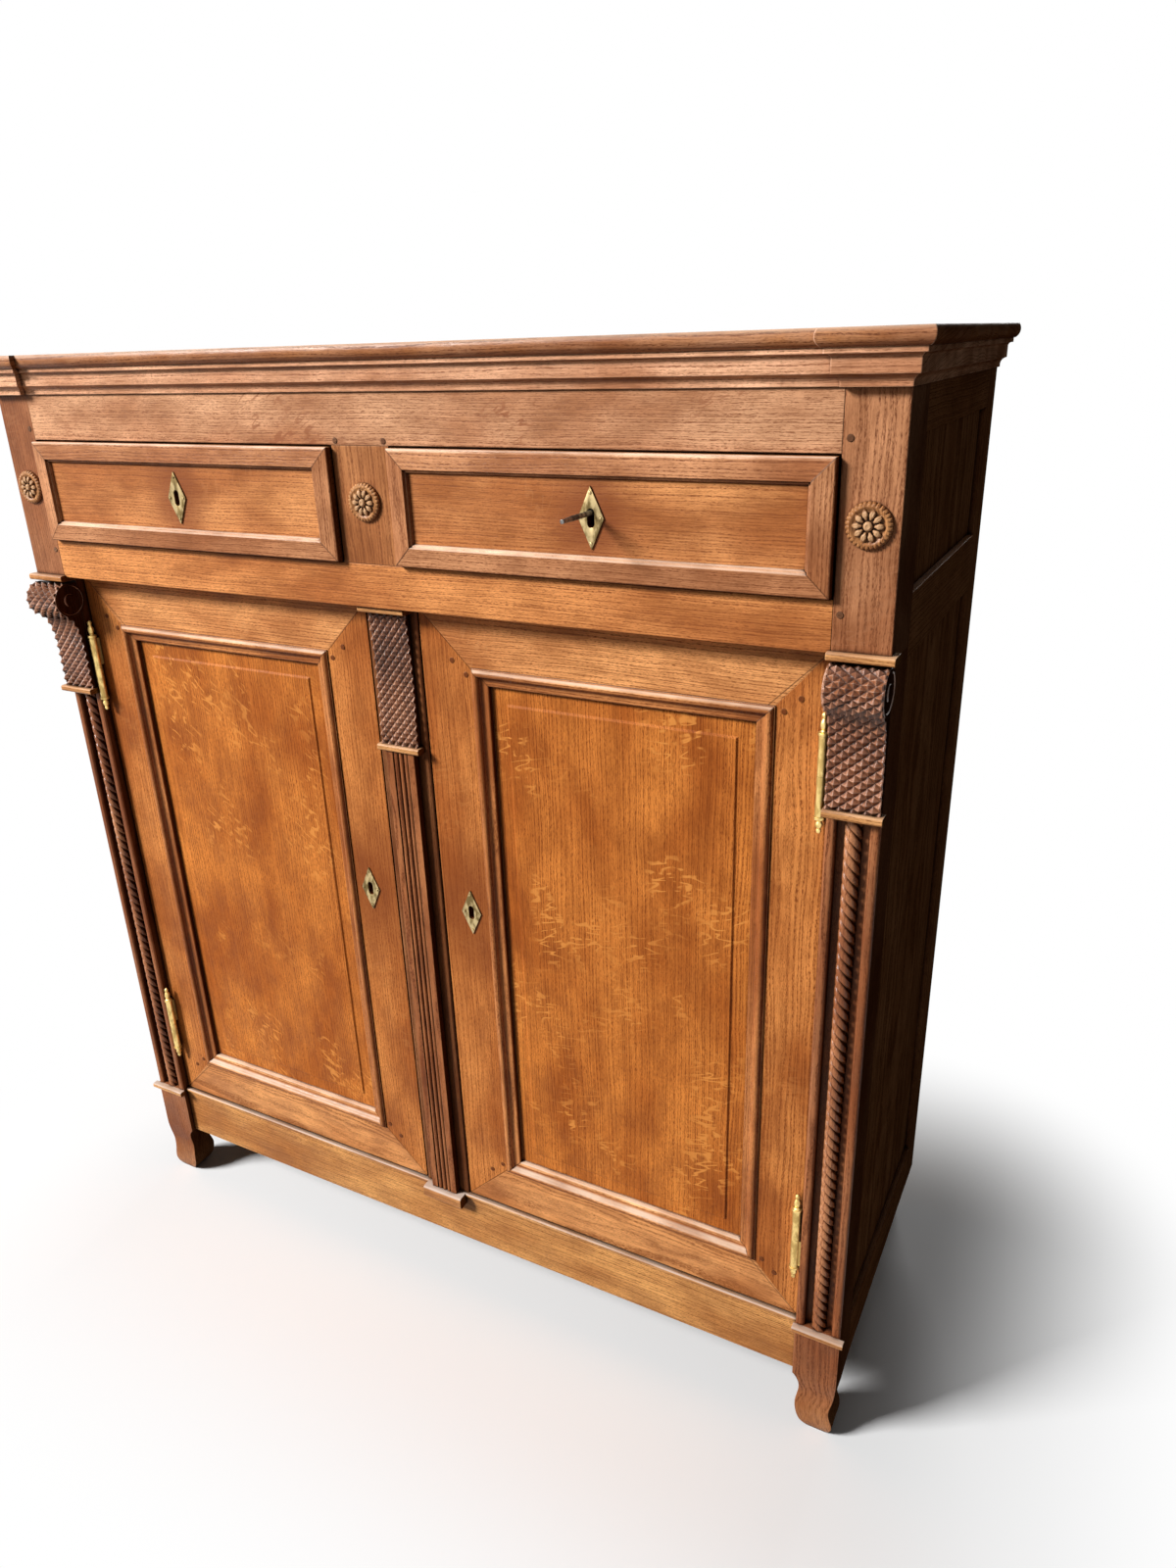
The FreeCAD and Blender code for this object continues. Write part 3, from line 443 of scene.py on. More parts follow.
def edges_and_corners(place, patch, wax_and_shade_reach):
    """The rounded and the plain normal, and masks of edges rubbed and highlit and of corners waxed and
    shaded, as painted light.
    """
    rounded = place.add("Bevel", {"samples": EDGE_SAMPLES}, {"Radius": EDGE_RADIUS})
    plain = place.add("NewGeometry").other("Normal")
    turn = place.vector("DOT_PRODUCT", rounded, plain)
    open_air = place.add("AmbientOcclusion", {"samples": CORNER_SAMPLES},
                         {"Distance": wax_and_shade_reach * MM}).other("AO")
    # Edges rubbed pale with painted highlights, and corners darkened by wax and by painted shade
    rubbed_and_highlit = rise(turn, 0.985, 0.86) * rise(open_air, 0.62, 0.92) * rise(patch, 0.0, 0.8)
    dark_wax_and_shade = rise(open_air + patch * 0.10, 0.90, 0.42)
    return rounded, plain, rubbed_and_highlit, dark_wax_and_shade


print("edges and corners are ready")

# %% [markdown]
# One function makes every oak finish of the buffet, because all its boards had the same wax and
# the same hands on them. What differs is passed in. `cloudy` sets how strong slow changes of tone are.
# `mitred` turns the grain at a mitre and `seams` draws its line, `bands` shades strips between two
# heights, some of them painted highlights, and `proud` what stands forward. `handled`, `scuffed`
# and `dust` are marks of use, and `planks` parts the boards of the back. Painted light is set too:
# one setting lightens what looks up as painted sheen and darkens what looks down as painted shade,
# and another darkens faces that look aside as painted shade and takes their gloss, which would
# mirror the white background.

# %% Waxed oak
PALE_FLECK = (1.50, 1.85, 2.10)
DARK_FLECK = (0.55, 0.38, 0.28)
# Edges rubbed pale, with painted highlights
RUBBED_AND_HIGHLIT_EDGE = (1.55, 1.80, 2.05)
TOUCHED = (0.42, 0.27, 0.22)
SCUFF = (1.75, 2.00, 1.75)
# Painted shade under things, old wax with painted shade in corners, and painted sheen on tops
UNDERSIDE_SHADE = (0.50, 0.38, 0.28)
DARK_WAX_AND_SHADE = (0.07, 0.055, 0.05)
PAINTED_SHEEN = (0.80, 0.62, 0.47)
ANY_HEIGHT = 9.0


def waxed_oak(name, tone, grain="zxy", seed=1.0, heart=(140, 60), flecks=0.0, slant=14.0,
              fleck_tone=PALE_FLECK, cloudy=1.0, planks=None, mitred=None, seams=None, bands=(),
              proud=None, handled=None, scuffed=None, painted_sheen_and_shade=0.0, dust=None, dust_top=ANY_HEIGHT,
              wax_and_shade_strength=1.0, wax_and_shade_reach=9.0, wear_and_highlight=0.6, worn_and_highlit=RUBBED_AND_HIGHLIT_EDGE, gloss=0.42, shine=0.16, painted_side_shade=None):
    """Old waxed oak with painted shade and highlights. Places are in metres, sizes of the grain in
    millimetres.
    """
    finish, place = new_finish(name)
    _, depth, height = parts_of(place)
    plank = None
    if mitred:
        upright = mitre_of(place, *mitred) > 0.0
        board = place.add("Mix", {"data_type": "VECTOR"},
                          {0: upright, 4: board_of(place, "xzy"), 5: board_of(place, "zxy")}, 1)
    else:
        board = board_of(place, grain)
    if planks:
        plank, board = plank_at(board, *planks)
    marks = grain_marks(board, heart, seed)
    _, pore, fibre, _, patch = marks

    colour = oak_colour(tone, marks, cloudy, plank)
    if flecks:
        fleck = ray_flecks(board, seed + 11, slant) * flecks
        colour = mixed(fleck, colour, times(tone, fleck_tone))
    # What stands forward gets other factors: dark end grain on pegs, painted highlights on petals
    if proud:
        front, ramp, factors = proud
        colour = mixed(rise(depth, front, front - ramp), colour, times(tone, factors))
    if handled:
        colour = mixed(near(place, *handled) * 0.75, colour, times(tone, TOUCHED))
    if scuffed:
        scuffs = rise(height, scuffed, 0.2 * scuffed) * (0.25 + fibre * 0.75)
        colour = mixed(scuffs, colour, times(tone, SCUFF))
    # Strips between two heights take other factors; on the mouldings they are painted highlights
    for low, high, factors in bands:
        band = between(height, low, high)
        if mitred:
            band = band * (1.0 - upright)
        colour = mixed(band * (0.55 + patch * 0.45), colour, shaded(colour, factors))

    rounded, plain, rubbed_and_highlit, dark_wax_and_shade = edges_and_corners(place, patch, wax_and_shade_reach)
    _, plain_y, plain_z = parts_of(plain)
    # Painted sheen on what looks up, and painted shade on what looks down
    if painted_sheen_and_shade:
        _, _, rounded_z = parts_of(rounded)
        below = rise(rounded_z, -0.25, -0.75) * painted_sheen_and_shade
        above = rise(rounded_z, 0.20, 0.80) * painted_sheen_and_shade
        colour = mixed(below, colour, shaded(colour, UNDERSIDE_SHADE))
        colour = mixed(above * (0.45 + patch * 0.5), colour, PAINTED_SHEEN)
    if seams:
        seam = rise(abs(mitre_of(place, *seams)), 1.6, 0.5)
        dark_wax_and_shade = rise(dark_wax_and_shade + seam * 0.6, 0.0, 1.0)
    # Edges rubbed pale, with painted highlights along them
    colour = mixed(rubbed_and_highlit * wear_and_highlight, colour, times(tone, worn_and_highlit))
    if dust:
        settled = rise(plain_z, 0.15, 0.70) * rise(height, dust_top, dust_top - 0.1)
        colour = mixed(settled * (0.45 + patch * 0.50), colour, dust)
    # Corners darkened by old wax and by painted shade
    colour = mixed(dark_wax_and_shade * (0.95 * wax_and_shade_strength), colour, times(tone, DARK_WAX_AND_SHADE))

    rough = gloss + (patch - 0.5) * 0.16 + pore * 0.10 + dark_wax_and_shade * 0.15
    relief = fibre * 0.25 - pore * 0.6 + patch * 0.3
    dents = place.add("Bump", {},
                      {"Strength": 0.35, "Distance": 0.45 * MM, "Height": relief, "Normal": rounded})
    surface = place.add("BsdfPrincipled", {},
                        {"Base Color": colour, "Roughness": rough, "Normal": dents,
                         "Specular IOR Level": shine})
    # Faces that look aside are dull and darkened as painted shade
    if painted_side_shade:
        side_in_painted_shade = place.add("BsdfPrincipled", {},
                        {"Base Color": shaded(colour, painted_side_shade), "Roughness": 1.0, "Normal": dents,
                         "Specular IOR Level": 0.0})
        aside = rise(plain_y, -0.50, -0.25) * rise(plain_z, 0.75, 0.45)
        surface = place.add("MixShader", {}, {0: aside, 1: surface, 2: side_in_painted_shade})
    end_finish(place, surface)
    return finish


def dress(finish, *names):
    """Gives named pieces a finish."""
    for name in names:
        for slot in nodes[name].material_slots:
            slot.material = finish
    print(finish.name, "on", ", ".join(names))


print("waxed oak is ready")

# %% [markdown]
# The front frame's rails run across, and its posts, divider and muntin stand up, so the grain turns
# from board to board. The frieze is pale with dark flecks, the muntin is painted dark brown as the
# shade that the pilaster throws on it, and the feet are scuffed. So each board has its own finish,
# with a tone, a seed and a heart line of its own.

# %% Oak of the front frame
# Factors of painted shade for faces that look aside
INNER_SIDE_SHADE = (0.25, 0.23, 0.22)
OUTER_SIDE_SHADE = (0.40, 0.46, 0.56)
console_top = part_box("corner_consoles")[1].z
below_drawers = (0.0, console_top, (0.70, 0.56, 0.46))
scuff_height = 85 * MM
rail_dust = (0.36, 0.29, 0.23)

dress(waxed_oak("oak_frieze", (0.55, 0.272, 0.146), "xzy", 3.7, (30, 95), flecks=0.80, slant=60.0,
                fleck_tone=DARK_FLECK, wax_and_shade_strength=0.9), "frieze_rail")
dress(waxed_oak("oak_mid_rail", (0.56, 0.208, 0.065), "xzy", 5.0, (-160, 70)), "mid_rail")
dress(waxed_oak("oak_bottom_rail", (0.58, 0.262, 0.084), "xzy", 8.0, (420, 60), flecks=0.3, slant=80.0,
                fleck_tone=DARK_FLECK, dust=rail_dust), "bottom_rail")
dress(waxed_oak("oak_posts", (0.38, 0.155, 0.070), "zxy", 11.0, (500, 80), flecks=0.1,
                bands=(below_drawers,), scuffed=scuff_height, painted_side_shade=OUTER_SIDE_SHADE), "front_posts")
dress(waxed_oak("oak_divider", (0.46, 0.190, 0.072), "zxy", 14.0, (-140, 90), painted_side_shade=INNER_SIDE_SHADE),
      "drawer_divider")
# The muntin's dark tone is painted shade from the pilaster
dress(waxed_oak("oak_muntin_in_shade", (0.22, 0.080, 0.030), "zxy", 15.0, (400, 90), shine=0.08,
                painted_side_shade=INNER_SIDE_SHADE), "centre_muntin")
dress(waxed_oak("oak_pegs", (0.17, 0.075, 0.036), "yxz", 17.0, (0, 5)), "frame_pegs")

# %% [markdown]
# Mouldings are planed from straight lengths, so their grain runs along them. What looks up gets a
# painted sheen and what looks down a painted shade, both found by the normal, which tells which way
# each part of a moulding looks. The cornice's nose is darker than the rest, so it is a band between
# two heights.

# %% Oak of the mouldings and small strips
cornice_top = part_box("cornice_moulding")[1].z
cornice_nose = (cornice_top - 17 * MM, cornice_top, (0.46, 0.33, 0.20))
low_dust = (0.62, 0.50, 0.42)
low_dust_top = 0.30

# The cornice's sides are darkened as painted shade and greyed as painted sheen
dress(waxed_oak("oak_cornice", (0.66, 0.335, 0.195), "xzy", 20.0, (260, 60), wear_and_highlight=0.8, wax_and_shade_reach=7.0,
                gloss=0.30, bands=(cornice_nose,), painted_sheen_and_shade=0.8, painted_side_shade=(0.58, 0.62, 0.68)),
      "cornice_moulding")
dress(waxed_oak("oak_top", (0.34, 0.140, 0.060), "xyz", 23.0, (0, 150), wax_and_shade_strength=0.6), "top_board")
dress(waxed_oak("oak_strips", (0.62, 0.300, 0.115), "xzy", 26.0, (20, 60), wear_and_highlight=0.9, gloss=0.32,
                painted_sheen_and_shade=0.35, dust=low_dust, dust_top=low_dust_top, painted_side_shade=INNER_SIDE_SHADE),
      "carved_strips", "ledge_moulding")
dress(waxed_oak("oak_pilaster", (0.30, 0.100, 0.036), "zxy", 29.0, (60, 80), wear_and_highlight=0.9, wax_and_shade_reach=6.0,
                gloss=0.30, shine=0.10, painted_side_shade=INNER_SIDE_SHADE), "pilaster")

# %% [markdown]
# Carving is touched most: its points are polished, rubbed pale and given painted highlights, and its
# hollows are darkened by dark wax and by painted shade. Strong wear with pale factors gives the
# points. A rosette's petals are too soft for the edge finder, so `proud` lightens whatever reaches
# past a depth, as a painted highlight.

# %% Oak of the carved pieces
# Painted shade for the sides of the carvings
CARVED_SIDE_SHADE = (0.14, 0.13, 0.13)
petal_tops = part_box("rosettes")[1].y - 5.4 * MM
# Painted highlights on the petals
highlit_petals = (petal_tops, 1.8 * MM, (1.35, 1.75, 2.30))

dress(waxed_oak("oak_carving", (0.43, 0.190, 0.102), "zxy", 32.0, (90, 60), wear_and_highlight=1.0, worn_and_highlit=(2.1, 3.0, 4.0),
                gloss=0.22, shine=0.42, painted_side_shade=CARVED_SIDE_SHADE), "corner_consoles", "centre_console")
dress(waxed_oak("oak_rope", (0.42, 0.168, 0.074), "zxy", 34.0, (90, 60), wear_and_highlight=1.0, worn_and_highlit=(1.8, 2.3, 2.9),
                wax_and_shade_reach=7.0, gloss=0.26, shine=0.25, painted_side_shade=CARVED_SIDE_SHADE), "rope_columns")
dress(waxed_oak("oak_rosettes", (0.44, 0.195, 0.075), "zxy", 33.0, (90, 60), wear_and_highlight=1.0, worn_and_highlit=(1.7, 2.4, 3.6),
                wax_and_shade_reach=4.0, gloss=0.32, proud=highlit_petals), "rosettes")

# %% [markdown]
# The sides get little light and little polish, so their colour is painted darker as shade, and they
# are dull and even. The back was never meant to be seen: its planks are rough and greyer, and each
# has a tone and a grain of its own. All planks are one node, so their number and width tell the
# finish where one ends.

# %% Oak of the sides and the back
# Painted shade: the sides' tone is darker than the front's
side_tone_in_shade = (0.25, 0.112, 0.050)
side_shade = (0.8, 0.8, 0.8)
for name, grain, seed, heart in (("side_rails", "yzx", 35.0, (40, 90)),
                                 ("side_panels", "zyx", 38.0, (60, 120)),
                                 ("rear_posts", "zyx", 41.0, (70, 90))):
    dress(waxed_oak("oak_" + name, side_tone_in_shade, grain, seed, heart, cloudy=0.45, wear_and_highlight=0.3, shine=0.02,
                    painted_side_shade=side_shade), name)

back_board_count = 5
back_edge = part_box("back_boards")[0].x / MM
back_board_width = -2 * back_edge / back_board_count
dress(waxed_oak("oak_back", (0.30, 0.190, 0.105), "zxy", 44.0, (90, 70), cloudy=0.35, wax_and_shade_strength=0.7, wear_and_highlight=0.2,
                gloss=0.75, shine=0.1, planks=(back_edge, back_board_width)), "back_rails", "back_boards")

# %% [markdown]
# A door is a mitred frame with a moulding laid on it and a panel inside. The panel shows ray flecks,
# at another slant on each door. Hands have darkened the stile round the keyhole, and the pegs' end
# grain is dark. The moulding's rounds get painted highlights on its level runs, as bands between
# heights.

# %% Oak of the doors
PEG_END = (0.34, 0.26, 0.24)
door_touch = 120 * MM
board_seeds = {"left": 50.0, "right": 60.0}
fleck_slants = {"left": -38.0, "right": 14.0}

for side, seed in board_seeds.items():
    stiles_low, stiles_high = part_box(side + "_door_stiles")
    rails_low, rails_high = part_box(side + "_door_rails")
    door = (Vector((rails_low.x, 0, stiles_low.z)), Vector((rails_high.x, 0, stiles_high.z)))
    keyhole = sum(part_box(side + "_door_escutcheon"), Vector()) / 2
    peg_ends = (rails_low.y - 0.1 * MM, 0.2 * MM, PEG_END)
    dress(waxed_oak(side + "_oak_stiles", (0.49, 0.165, 0.042), "zxy", seed, (400, 60), flecks=0.15,
                    seams=door, proud=peg_ends, handled=(keyhole, door_touch), shine=0.12,
                    painted_side_shade=INNER_SIDE_SHADE), side + "_door_stiles")
    dress(waxed_oak(side + "_oak_rails", (0.59, 0.245, 0.086), "xzy", seed + 1, (190, 80), flecks=0.15,
                    seams=door, painted_side_shade=INNER_SIDE_SHADE), side + "_door_rails")
    dress(waxed_oak(side + "_oak_panel", (0.49, 0.150, 0.028), "zxy", seed + 2, (700, 40), flecks=0.95,
                    slant=fleck_slants[side], shine=0.12), side + "_door_panel")

    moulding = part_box(side + "_door_moulding")
    lower, upper = moulding[0].z, moulding[1].z
    # Painted highlights along the moulding's rounds
    highlit_rounds = ((lower + 18 * MM, lower + 24 * MM, (1.9, 2.6, 3.6)),
                     (lower + 7 * MM, lower + 11 * MM, (1.6, 2.0, 2.6)),
                     (upper - 6 * MM, upper - 2 * MM, (1.5, 1.9, 2.4)))
    dress(waxed_oak(side + "_oak_door_moulding", (0.42, 0.150, 0.048), seed=seed + 3, mitred=moulding,
                    seams=moulding, bands=highlit_rounds, painted_sheen_and_shade=0.9, wear_and_highlight=0.9, wax_and_shade_reach=6.0, gloss=0.28,
                    shine=0.12, painted_side_shade=INNER_SIDE_SHADE), side + "_door_moulding")

# %% [markdown]
# A drawer front is one board inside a mitred border, dark round its keyhole as the doors are. The
# border gets painted highlights along its top and along the inner edge of its lower run.

# %% Oak of the drawers
drawer_touch = 75 * MM

for side, seed in board_seeds.items():
    keyhole = sum(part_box(side + "_drawer_escutcheon"), Vector()) / 2
    dress(waxed_oak(side + "_oak_drawer_front", (0.54, 0.212, 0.073), "xzy", seed + 4, (140, 90),
                    flecks=0.1, handled=(keyhole, drawer_touch), painted_side_shade=INNER_SIDE_SHADE),
          side + "_drawer_front")

    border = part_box(side + "_drawer_border")
    lower, upper = border[0].z, border[1].z
    # Painted highlights along the border's edges
    highlit_edges = ((upper - 3.5 * MM, upper + 1 * MM, (1.6, 2.1, 2.9)),
                    (lower + 23.2 * MM, lower + 28 * MM, (1.8, 2.5, 3.6)))
    dress(waxed_oak(side + "_oak_drawer_border", (0.48, 0.205, 0.095), seed=seed + 5, mitred=border,
                    seams=border, bands=highlit_edges, painted_sheen_and_shade=0.9, wear_and_highlight=0.9, gloss=0.30, shine=0.14,
                    painted_side_shade=INNER_SIDE_SHADE), side + "_drawer_border")

# %% [markdown]
# Inside, the oak was never waxed. It is greyer, dull, and darker only in the corners, with dust and
# painted shade. The same function makes it, with little wax, painted shade and wear. Boards, bearers
# and stops differ in their grain.

# %% Bare oak inside
bare_tone = (0.36, 0.235, 0.135)
bare_pieces = {
    "boards": ("xyz", 70.0, (30, 120),
               ("floor_boards", "dust_board", "shelf", "left_drawer_bottom", "right_drawer_bottom")),
    "bearers": ("yzx", 73.0, (30, 90),
                ("shelf_bearers", "drawer_runners", "drawer_guides", "left_drawer_sides",
                 "right_drawer_sides")),
    "stops": ("zxy", 76.0, (30, 90), ("door_stops",)),
}
for name, (grain, seed, heart, pieces) in bare_pieces.items():
    dress(waxed_oak("bare_oak_" + name, bare_tone, grain, seed, heart, cloudy=0.4, wax_and_shade_strength=0.5, wear_and_highlight=0.15,
                    gloss=0.8), *pieces)

# %% [markdown]
# The escutcheons and hinges are brass that has gone olive with age, brighter where it is touched.
# The locks are black iron, and the key is dark steel. All four are one network: a bright metal under
# a dull skin that grows in patches and corners, with fine scratches along it.

# %% Brass, iron and steel
METAL_EDGE = 0.6 * MM
METAL_CORNER = 3 * MM


def aged_metal(name, bright, dull, seed, gloss=0.34):
    """Metal with a dull skin in its corners and in patches, and bright edges."""
    finish, place = new_finish(name)
    board = board_of(place, "zxy")
    patch = figure(board, 8, 16, seed, 3.0)
    scratch = figure(board, 0.5, 9, seed + 2, 2.0)
    open_air = place.add("AmbientOcclusion", {"samples": CORNER_SAMPLES},
                         {"Distance": METAL_CORNER}).other("AO")
    skin = rise(patch + scratch * 0.25 - open_air * 0.35, 0.16, 0.38)
    rounded = place.add("Bevel", {"samples": EDGE_SAMPLES}, {"Radius": METAL_EDGE})
    relief = patch + scratch * 0.3
    dents = place.add("Bump", {},
                      {"Strength": 0.15, "Distance": 0.1 * MM, "Height": relief, "Normal": rounded})
    surface = place.add("BsdfPrincipled", {},
                        {"Base Color": mixed(skin, bright, dull), "Metallic": 1.0,
                         "Roughness": gloss + skin * 0.22, "Normal": dents})
    end_finish(place, surface)
    return finish


plates = ("_door_escutcheon", "_drawer_escutcheon")
iron_parts = ("_door_lock", "_drawer_lock", "_door_bolt", "_drawer_bolt")
dress(aged_metal("aged_brass", (0.66, 0.50, 0.25), (0.19, 0.13, 0.05), 80.0),
      *(side + part for side in ("left", "right") for part in plates))
dress(aged_metal("hinge_brass", (0.98, 0.72, 0.28), (0.56, 0.38, 0.13), 81.0),
      "post_hinge_halves", "left_door_hinge_halves", "right_door_hinge_halves")
dress(aged_metal("black_lock_iron", (0.12, 0.11, 0.10), (0.045, 0.038, 0.034), 83.0, 0.5),
      *(side + part for side in ("left", "right") for part in iron_parts))
dress(aged_metal("dark_key_steel", (0.30, 0.29, 0.28), (0.085, 0.075, 0.07), 86.0, 0.36), "key")

# %% [markdown]
# The carved pieces are too fine for the frame, which holds only their plain outer shapes. They are
# modelled here as by hand: a primitive, edit mode, modifiers. Small helpers keep that short: `pick`
# selects by place in edit mode, `turn_front` insets a disc's front step by step as a lathe cuts it,
# and `applied` adds a modifier and applies it at once.

# %% Helpers for shaping
DOUBLES = 0.01 * MM


def to_mode(mode):
    """Goes to edit mode or object mode."""
    bpy.ops.object.mode_set(mode=mode)


def began(name, primitive, **size):
    """Adds a primitive, alone and in edit mode, as the start of a piece."""
    bpy.ops.object.select_all(action="DESELECT")
    primitive(**size)
    piece = bpy.context.object
    piece.name = name
    piece.data.name = name
    to_mode("EDIT")
    return piece


def pick(kind, test):
    """In edit mode, selects only the vertices, edges or faces that pass a test."""
    mesh = bpy.context.object.data
    shape = bmesh.from_edit_mesh(mesh)
    bpy.ops.mesh.select_mode(type=kind)
    bpy.ops.mesh.select_all(action="DESELECT")
    for item in {"VERT": shape.verts, "EDGE": shape.edges, "FACE": shape.faces}[kind]:
        item.select_set(test(item))
    shape.select_flush_mode()
    bmesh.update_edit_mesh(mesh)


def pick_all():
    """In edit mode, selects the whole mesh."""
    bpy.ops.mesh.select_all(action="SELECT")


def move_by(shift):
    """Moves what is selected."""
    bpy.ops.transform.translate(value=shift)


def scale_by(shares, middle=(0, 0, 0)):
    """Scales what is selected about a point."""
    bpy.ops.transform.resize(value=shares, center_override=middle)


def is_middle_of_front(face):
    """True for the face in the middle of a disc's front."""
    return face.normal.z > 0.9 and face.calc_center_median().xy.length < 0.1 * MM


def turn_front(steps):
    """Insets the middle of a disc's front and moves it, for each width and lift in millimetres."""
    for width, lift in steps:
        pick("FACE", is_middle_of_front)
        bpy.ops.mesh.inset(thickness=width * MM)
        move_by((0, 0, lift * MM))


def applied(piece, kind, **settings):
    """Adds a modifier with its settings and applies it."""
    to_mode("OBJECT")
    modifier = piece.modifiers.new(kind.lower(), kind)
    for name, value in settings.items():
        setattr(modifier, name, value)
    bpy.ops.object.modifier_apply(modifier=modifier.name)


print("shaping helpers are ready")

# %% [markdown]
# Four more helpers finish a shape. `settle` puts its place into the mesh, where the finishes look for
# it. `twin_of` copies it with its mesh, `joined` makes one piece of several, and `set_in` puts a piece
# on its body in place of a plain node.

# %% Helpers for finishing a piece
def settle(piece, smooth_angle):
    """Merges doubles, turns faces outwards, applies the place and shades the piece."""
    to_mode("EDIT")
    pick_all()
    bpy.ops.mesh.remove_doubles(threshold=DOUBLES)
    bpy.ops.mesh.normals_make_consistent(inside=False)
    to_mode("OBJECT")
    bpy.ops.object.transform_apply(location=True, rotation=True, scale=True)
    bpy.ops.object.shade_smooth_by_angle(angle=math.radians(smooth_angle))
    print(piece.name, "measures", [round(size / MM, 1) for size in piece.dimensions], "mm")


def twin_of(piece, name, shift):
    """A copy with its own mesh, moved aside."""
    bpy.ops.object.select_all(action="DESELECT")
    piece.select_set(True)
    bpy.context.view_layer.objects.active = piece
    bpy.ops.object.duplicate()
    twin = bpy.context.object
    twin.name = name
    twin.data.name = name
    twin.parent = None
    for tag in [key for key in twin.keys() if key.startswith("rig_")]:
        del twin[tag]
    move_by(shift)
    bpy.ops.object.transform_apply(location=True)
    return twin


def joined(piece, *others):
    """Joins other pieces into this one."""
    bpy.ops.object.select_all(action="DESELECT")
    for part in (piece, *others):
        part.select_set(True)
    bpy.context.view_layer.objects.active = piece
    bpy.ops.object.join()


def set_in(piece, finish, body, slot, *replaced):
    """Gives a modelled piece its finish, its body and the plain nodes that it stands for."""
    piece.data.materials.clear()
    piece.data.materials.append(bpy.data.materials[finish])
    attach(piece, body)
    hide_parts(*replaced)
    piece.data.calc_loop_triangles()
    print(piece.name, "has", len(piece.data.loop_triangles), "triangles")


print("finishing helpers are ready")

# %% [markdown]
# The rope columns are half round, with three strands laid round each other like rope. A ring of
# points with three grooves is the rope's section, and the Screw modifier turns it as it climbs.
# Both columns turn the same way, so the second is a copy. A bisect cuts the flat back.

# %% Rope columns
rope_low, rope_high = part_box("rope_columns")
rope_radius = 10 * MM
rope_length = rope_high.z - rope_low.z
rope_points = 36
strands = 3
rope_turns = 17
steps_per_turn = 26
groove_shares = {0: 0.66, 1: 0.80, 2: 0.91, 3: 0.975}


def steps_from_groove(vertex):
    """How many points of the ring lie between a point and the nearest groove."""
    point = round(math.atan2(vertex.co.y, vertex.co.x) / (2 * math.pi) * rope_points)
    strand_points = rope_points // strands
    return min(point % strand_points, -point % strand_points)


rope = began("right_rope_column", bpy.ops.mesh.primitive_circle_add, vertices=rope_points,
             radius=rope_radius)
for steps, share in groove_shares.items():
    pick("VERT", lambda vertex: steps_from_groove(vertex) == steps)
    scale_by((share, share, 1))
applied(rope, "SCREW", angle=-2 * math.pi, screw_offset=rope_length / rope_turns, iterations=rope_turns,
        steps=steps_per_turn, render_steps=steps_per_turn)
to_mode("EDIT")
pick_all()
bpy.ops.mesh.fill_holes(sides=rope_points)
pick_all()
bpy.ops.mesh.bisect(plane_co=(0, rope_high.y - rope_low.y - rope_radius, 0), plane_no=(0, 1, 0),
                    use_fill=True, clear_outer=True)
to_mode("OBJECT")
rope.location = (rope_high.x - rope_radius, rope_low.y + rope_radius, rope_low.z)
settle(rope, 60)
left_rope = twin_of(rope, "left_rope_column", (rope_low.x - rope_high.x + 2 * rope_radius, 0, 0))
for column in (rope, left_rope):
    set_in(column, "oak_rope", "cabinet", "oak", "rope_columns")

# %% [markdown]
# A rosette is a turned disc with a notched rim, ten petals and a dimpled button. The disc comes
# first: a short cylinder whose front is inset and moved, as a lathe would cut it. Every fourth point
# of its rim is then drawn in, which gives the notches of a gouge.

# %% Disc of a rosette
rosette_low, rosette_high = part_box("rosettes")
rosette_radius = (rosette_high.z - rosette_low.z) / 2
rosette_height = (rosette_high.z + rosette_low.z) / 2
disc_depth = 3.4 * MM
disc_steps = ((1.7, 1.4), (3.0, 0.5), (2.6, -1.3), (1.0, -0.6))
rim_points = 120
points_per_notch = 4
rim_width = 2.2 * MM
notch_shares = (0.935, 0.935, 0.85)

disc = began("right_rosette", bpy.ops.mesh.primitive_cylinder_add, vertices=rim_points,
             radius=rosette_radius, depth=disc_depth, location=(0, 0, disc_depth / 2))
turn_front(disc_steps)


def is_notch(vertex):
    """True for every fourth point of the rim's front edge."""
    point = round(math.atan2(vertex.co.y, vertex.co.x) / (2 * math.pi) * rim_points)
    on_rim = vertex.co.xy.length > rosette_radius - rim_width and vertex.co.z > 1 * MM
    return on_rim and point % points_per_notch == 0


pick("VERT", is_notch)
scale_by(notch_shares)
to_mode("OBJECT")
bpy.ops.object.transform_apply(location=True)
print("disc has", rim_points // points_per_notch, "notches")

# %% [markdown]
# One petal is shaped from a ball: stretched, narrowed towards the middle of the flower and creased
# along its top. It is copied round the middle. The button is a flattened ball with a dimple.

# %% Petals and button
petals = 10
petal_halves = (5.2, 3.2, 2.6)
petal_reach = 10.8 * MM
petal_lift = 5.1 * MM
inner_shares = (1, 0.68, 0.8)
crease_half = 0.7 * MM
crease_depth = 0.6 * MM
button_radius = 4.9 * MM
button_lift = 5.4 * MM
button_shares = (1, 1, 0.72)
dimple_radius = 1.4 * MM
dimple_depth = 1.0 * MM


def is_on_crease(vertex):
    """True along the middle of a petal's top, outside its narrow end."""
    return abs(vertex.co.y) < crease_half and vertex.co.z > 1 * MM and vertex.co.x > -1 * MM


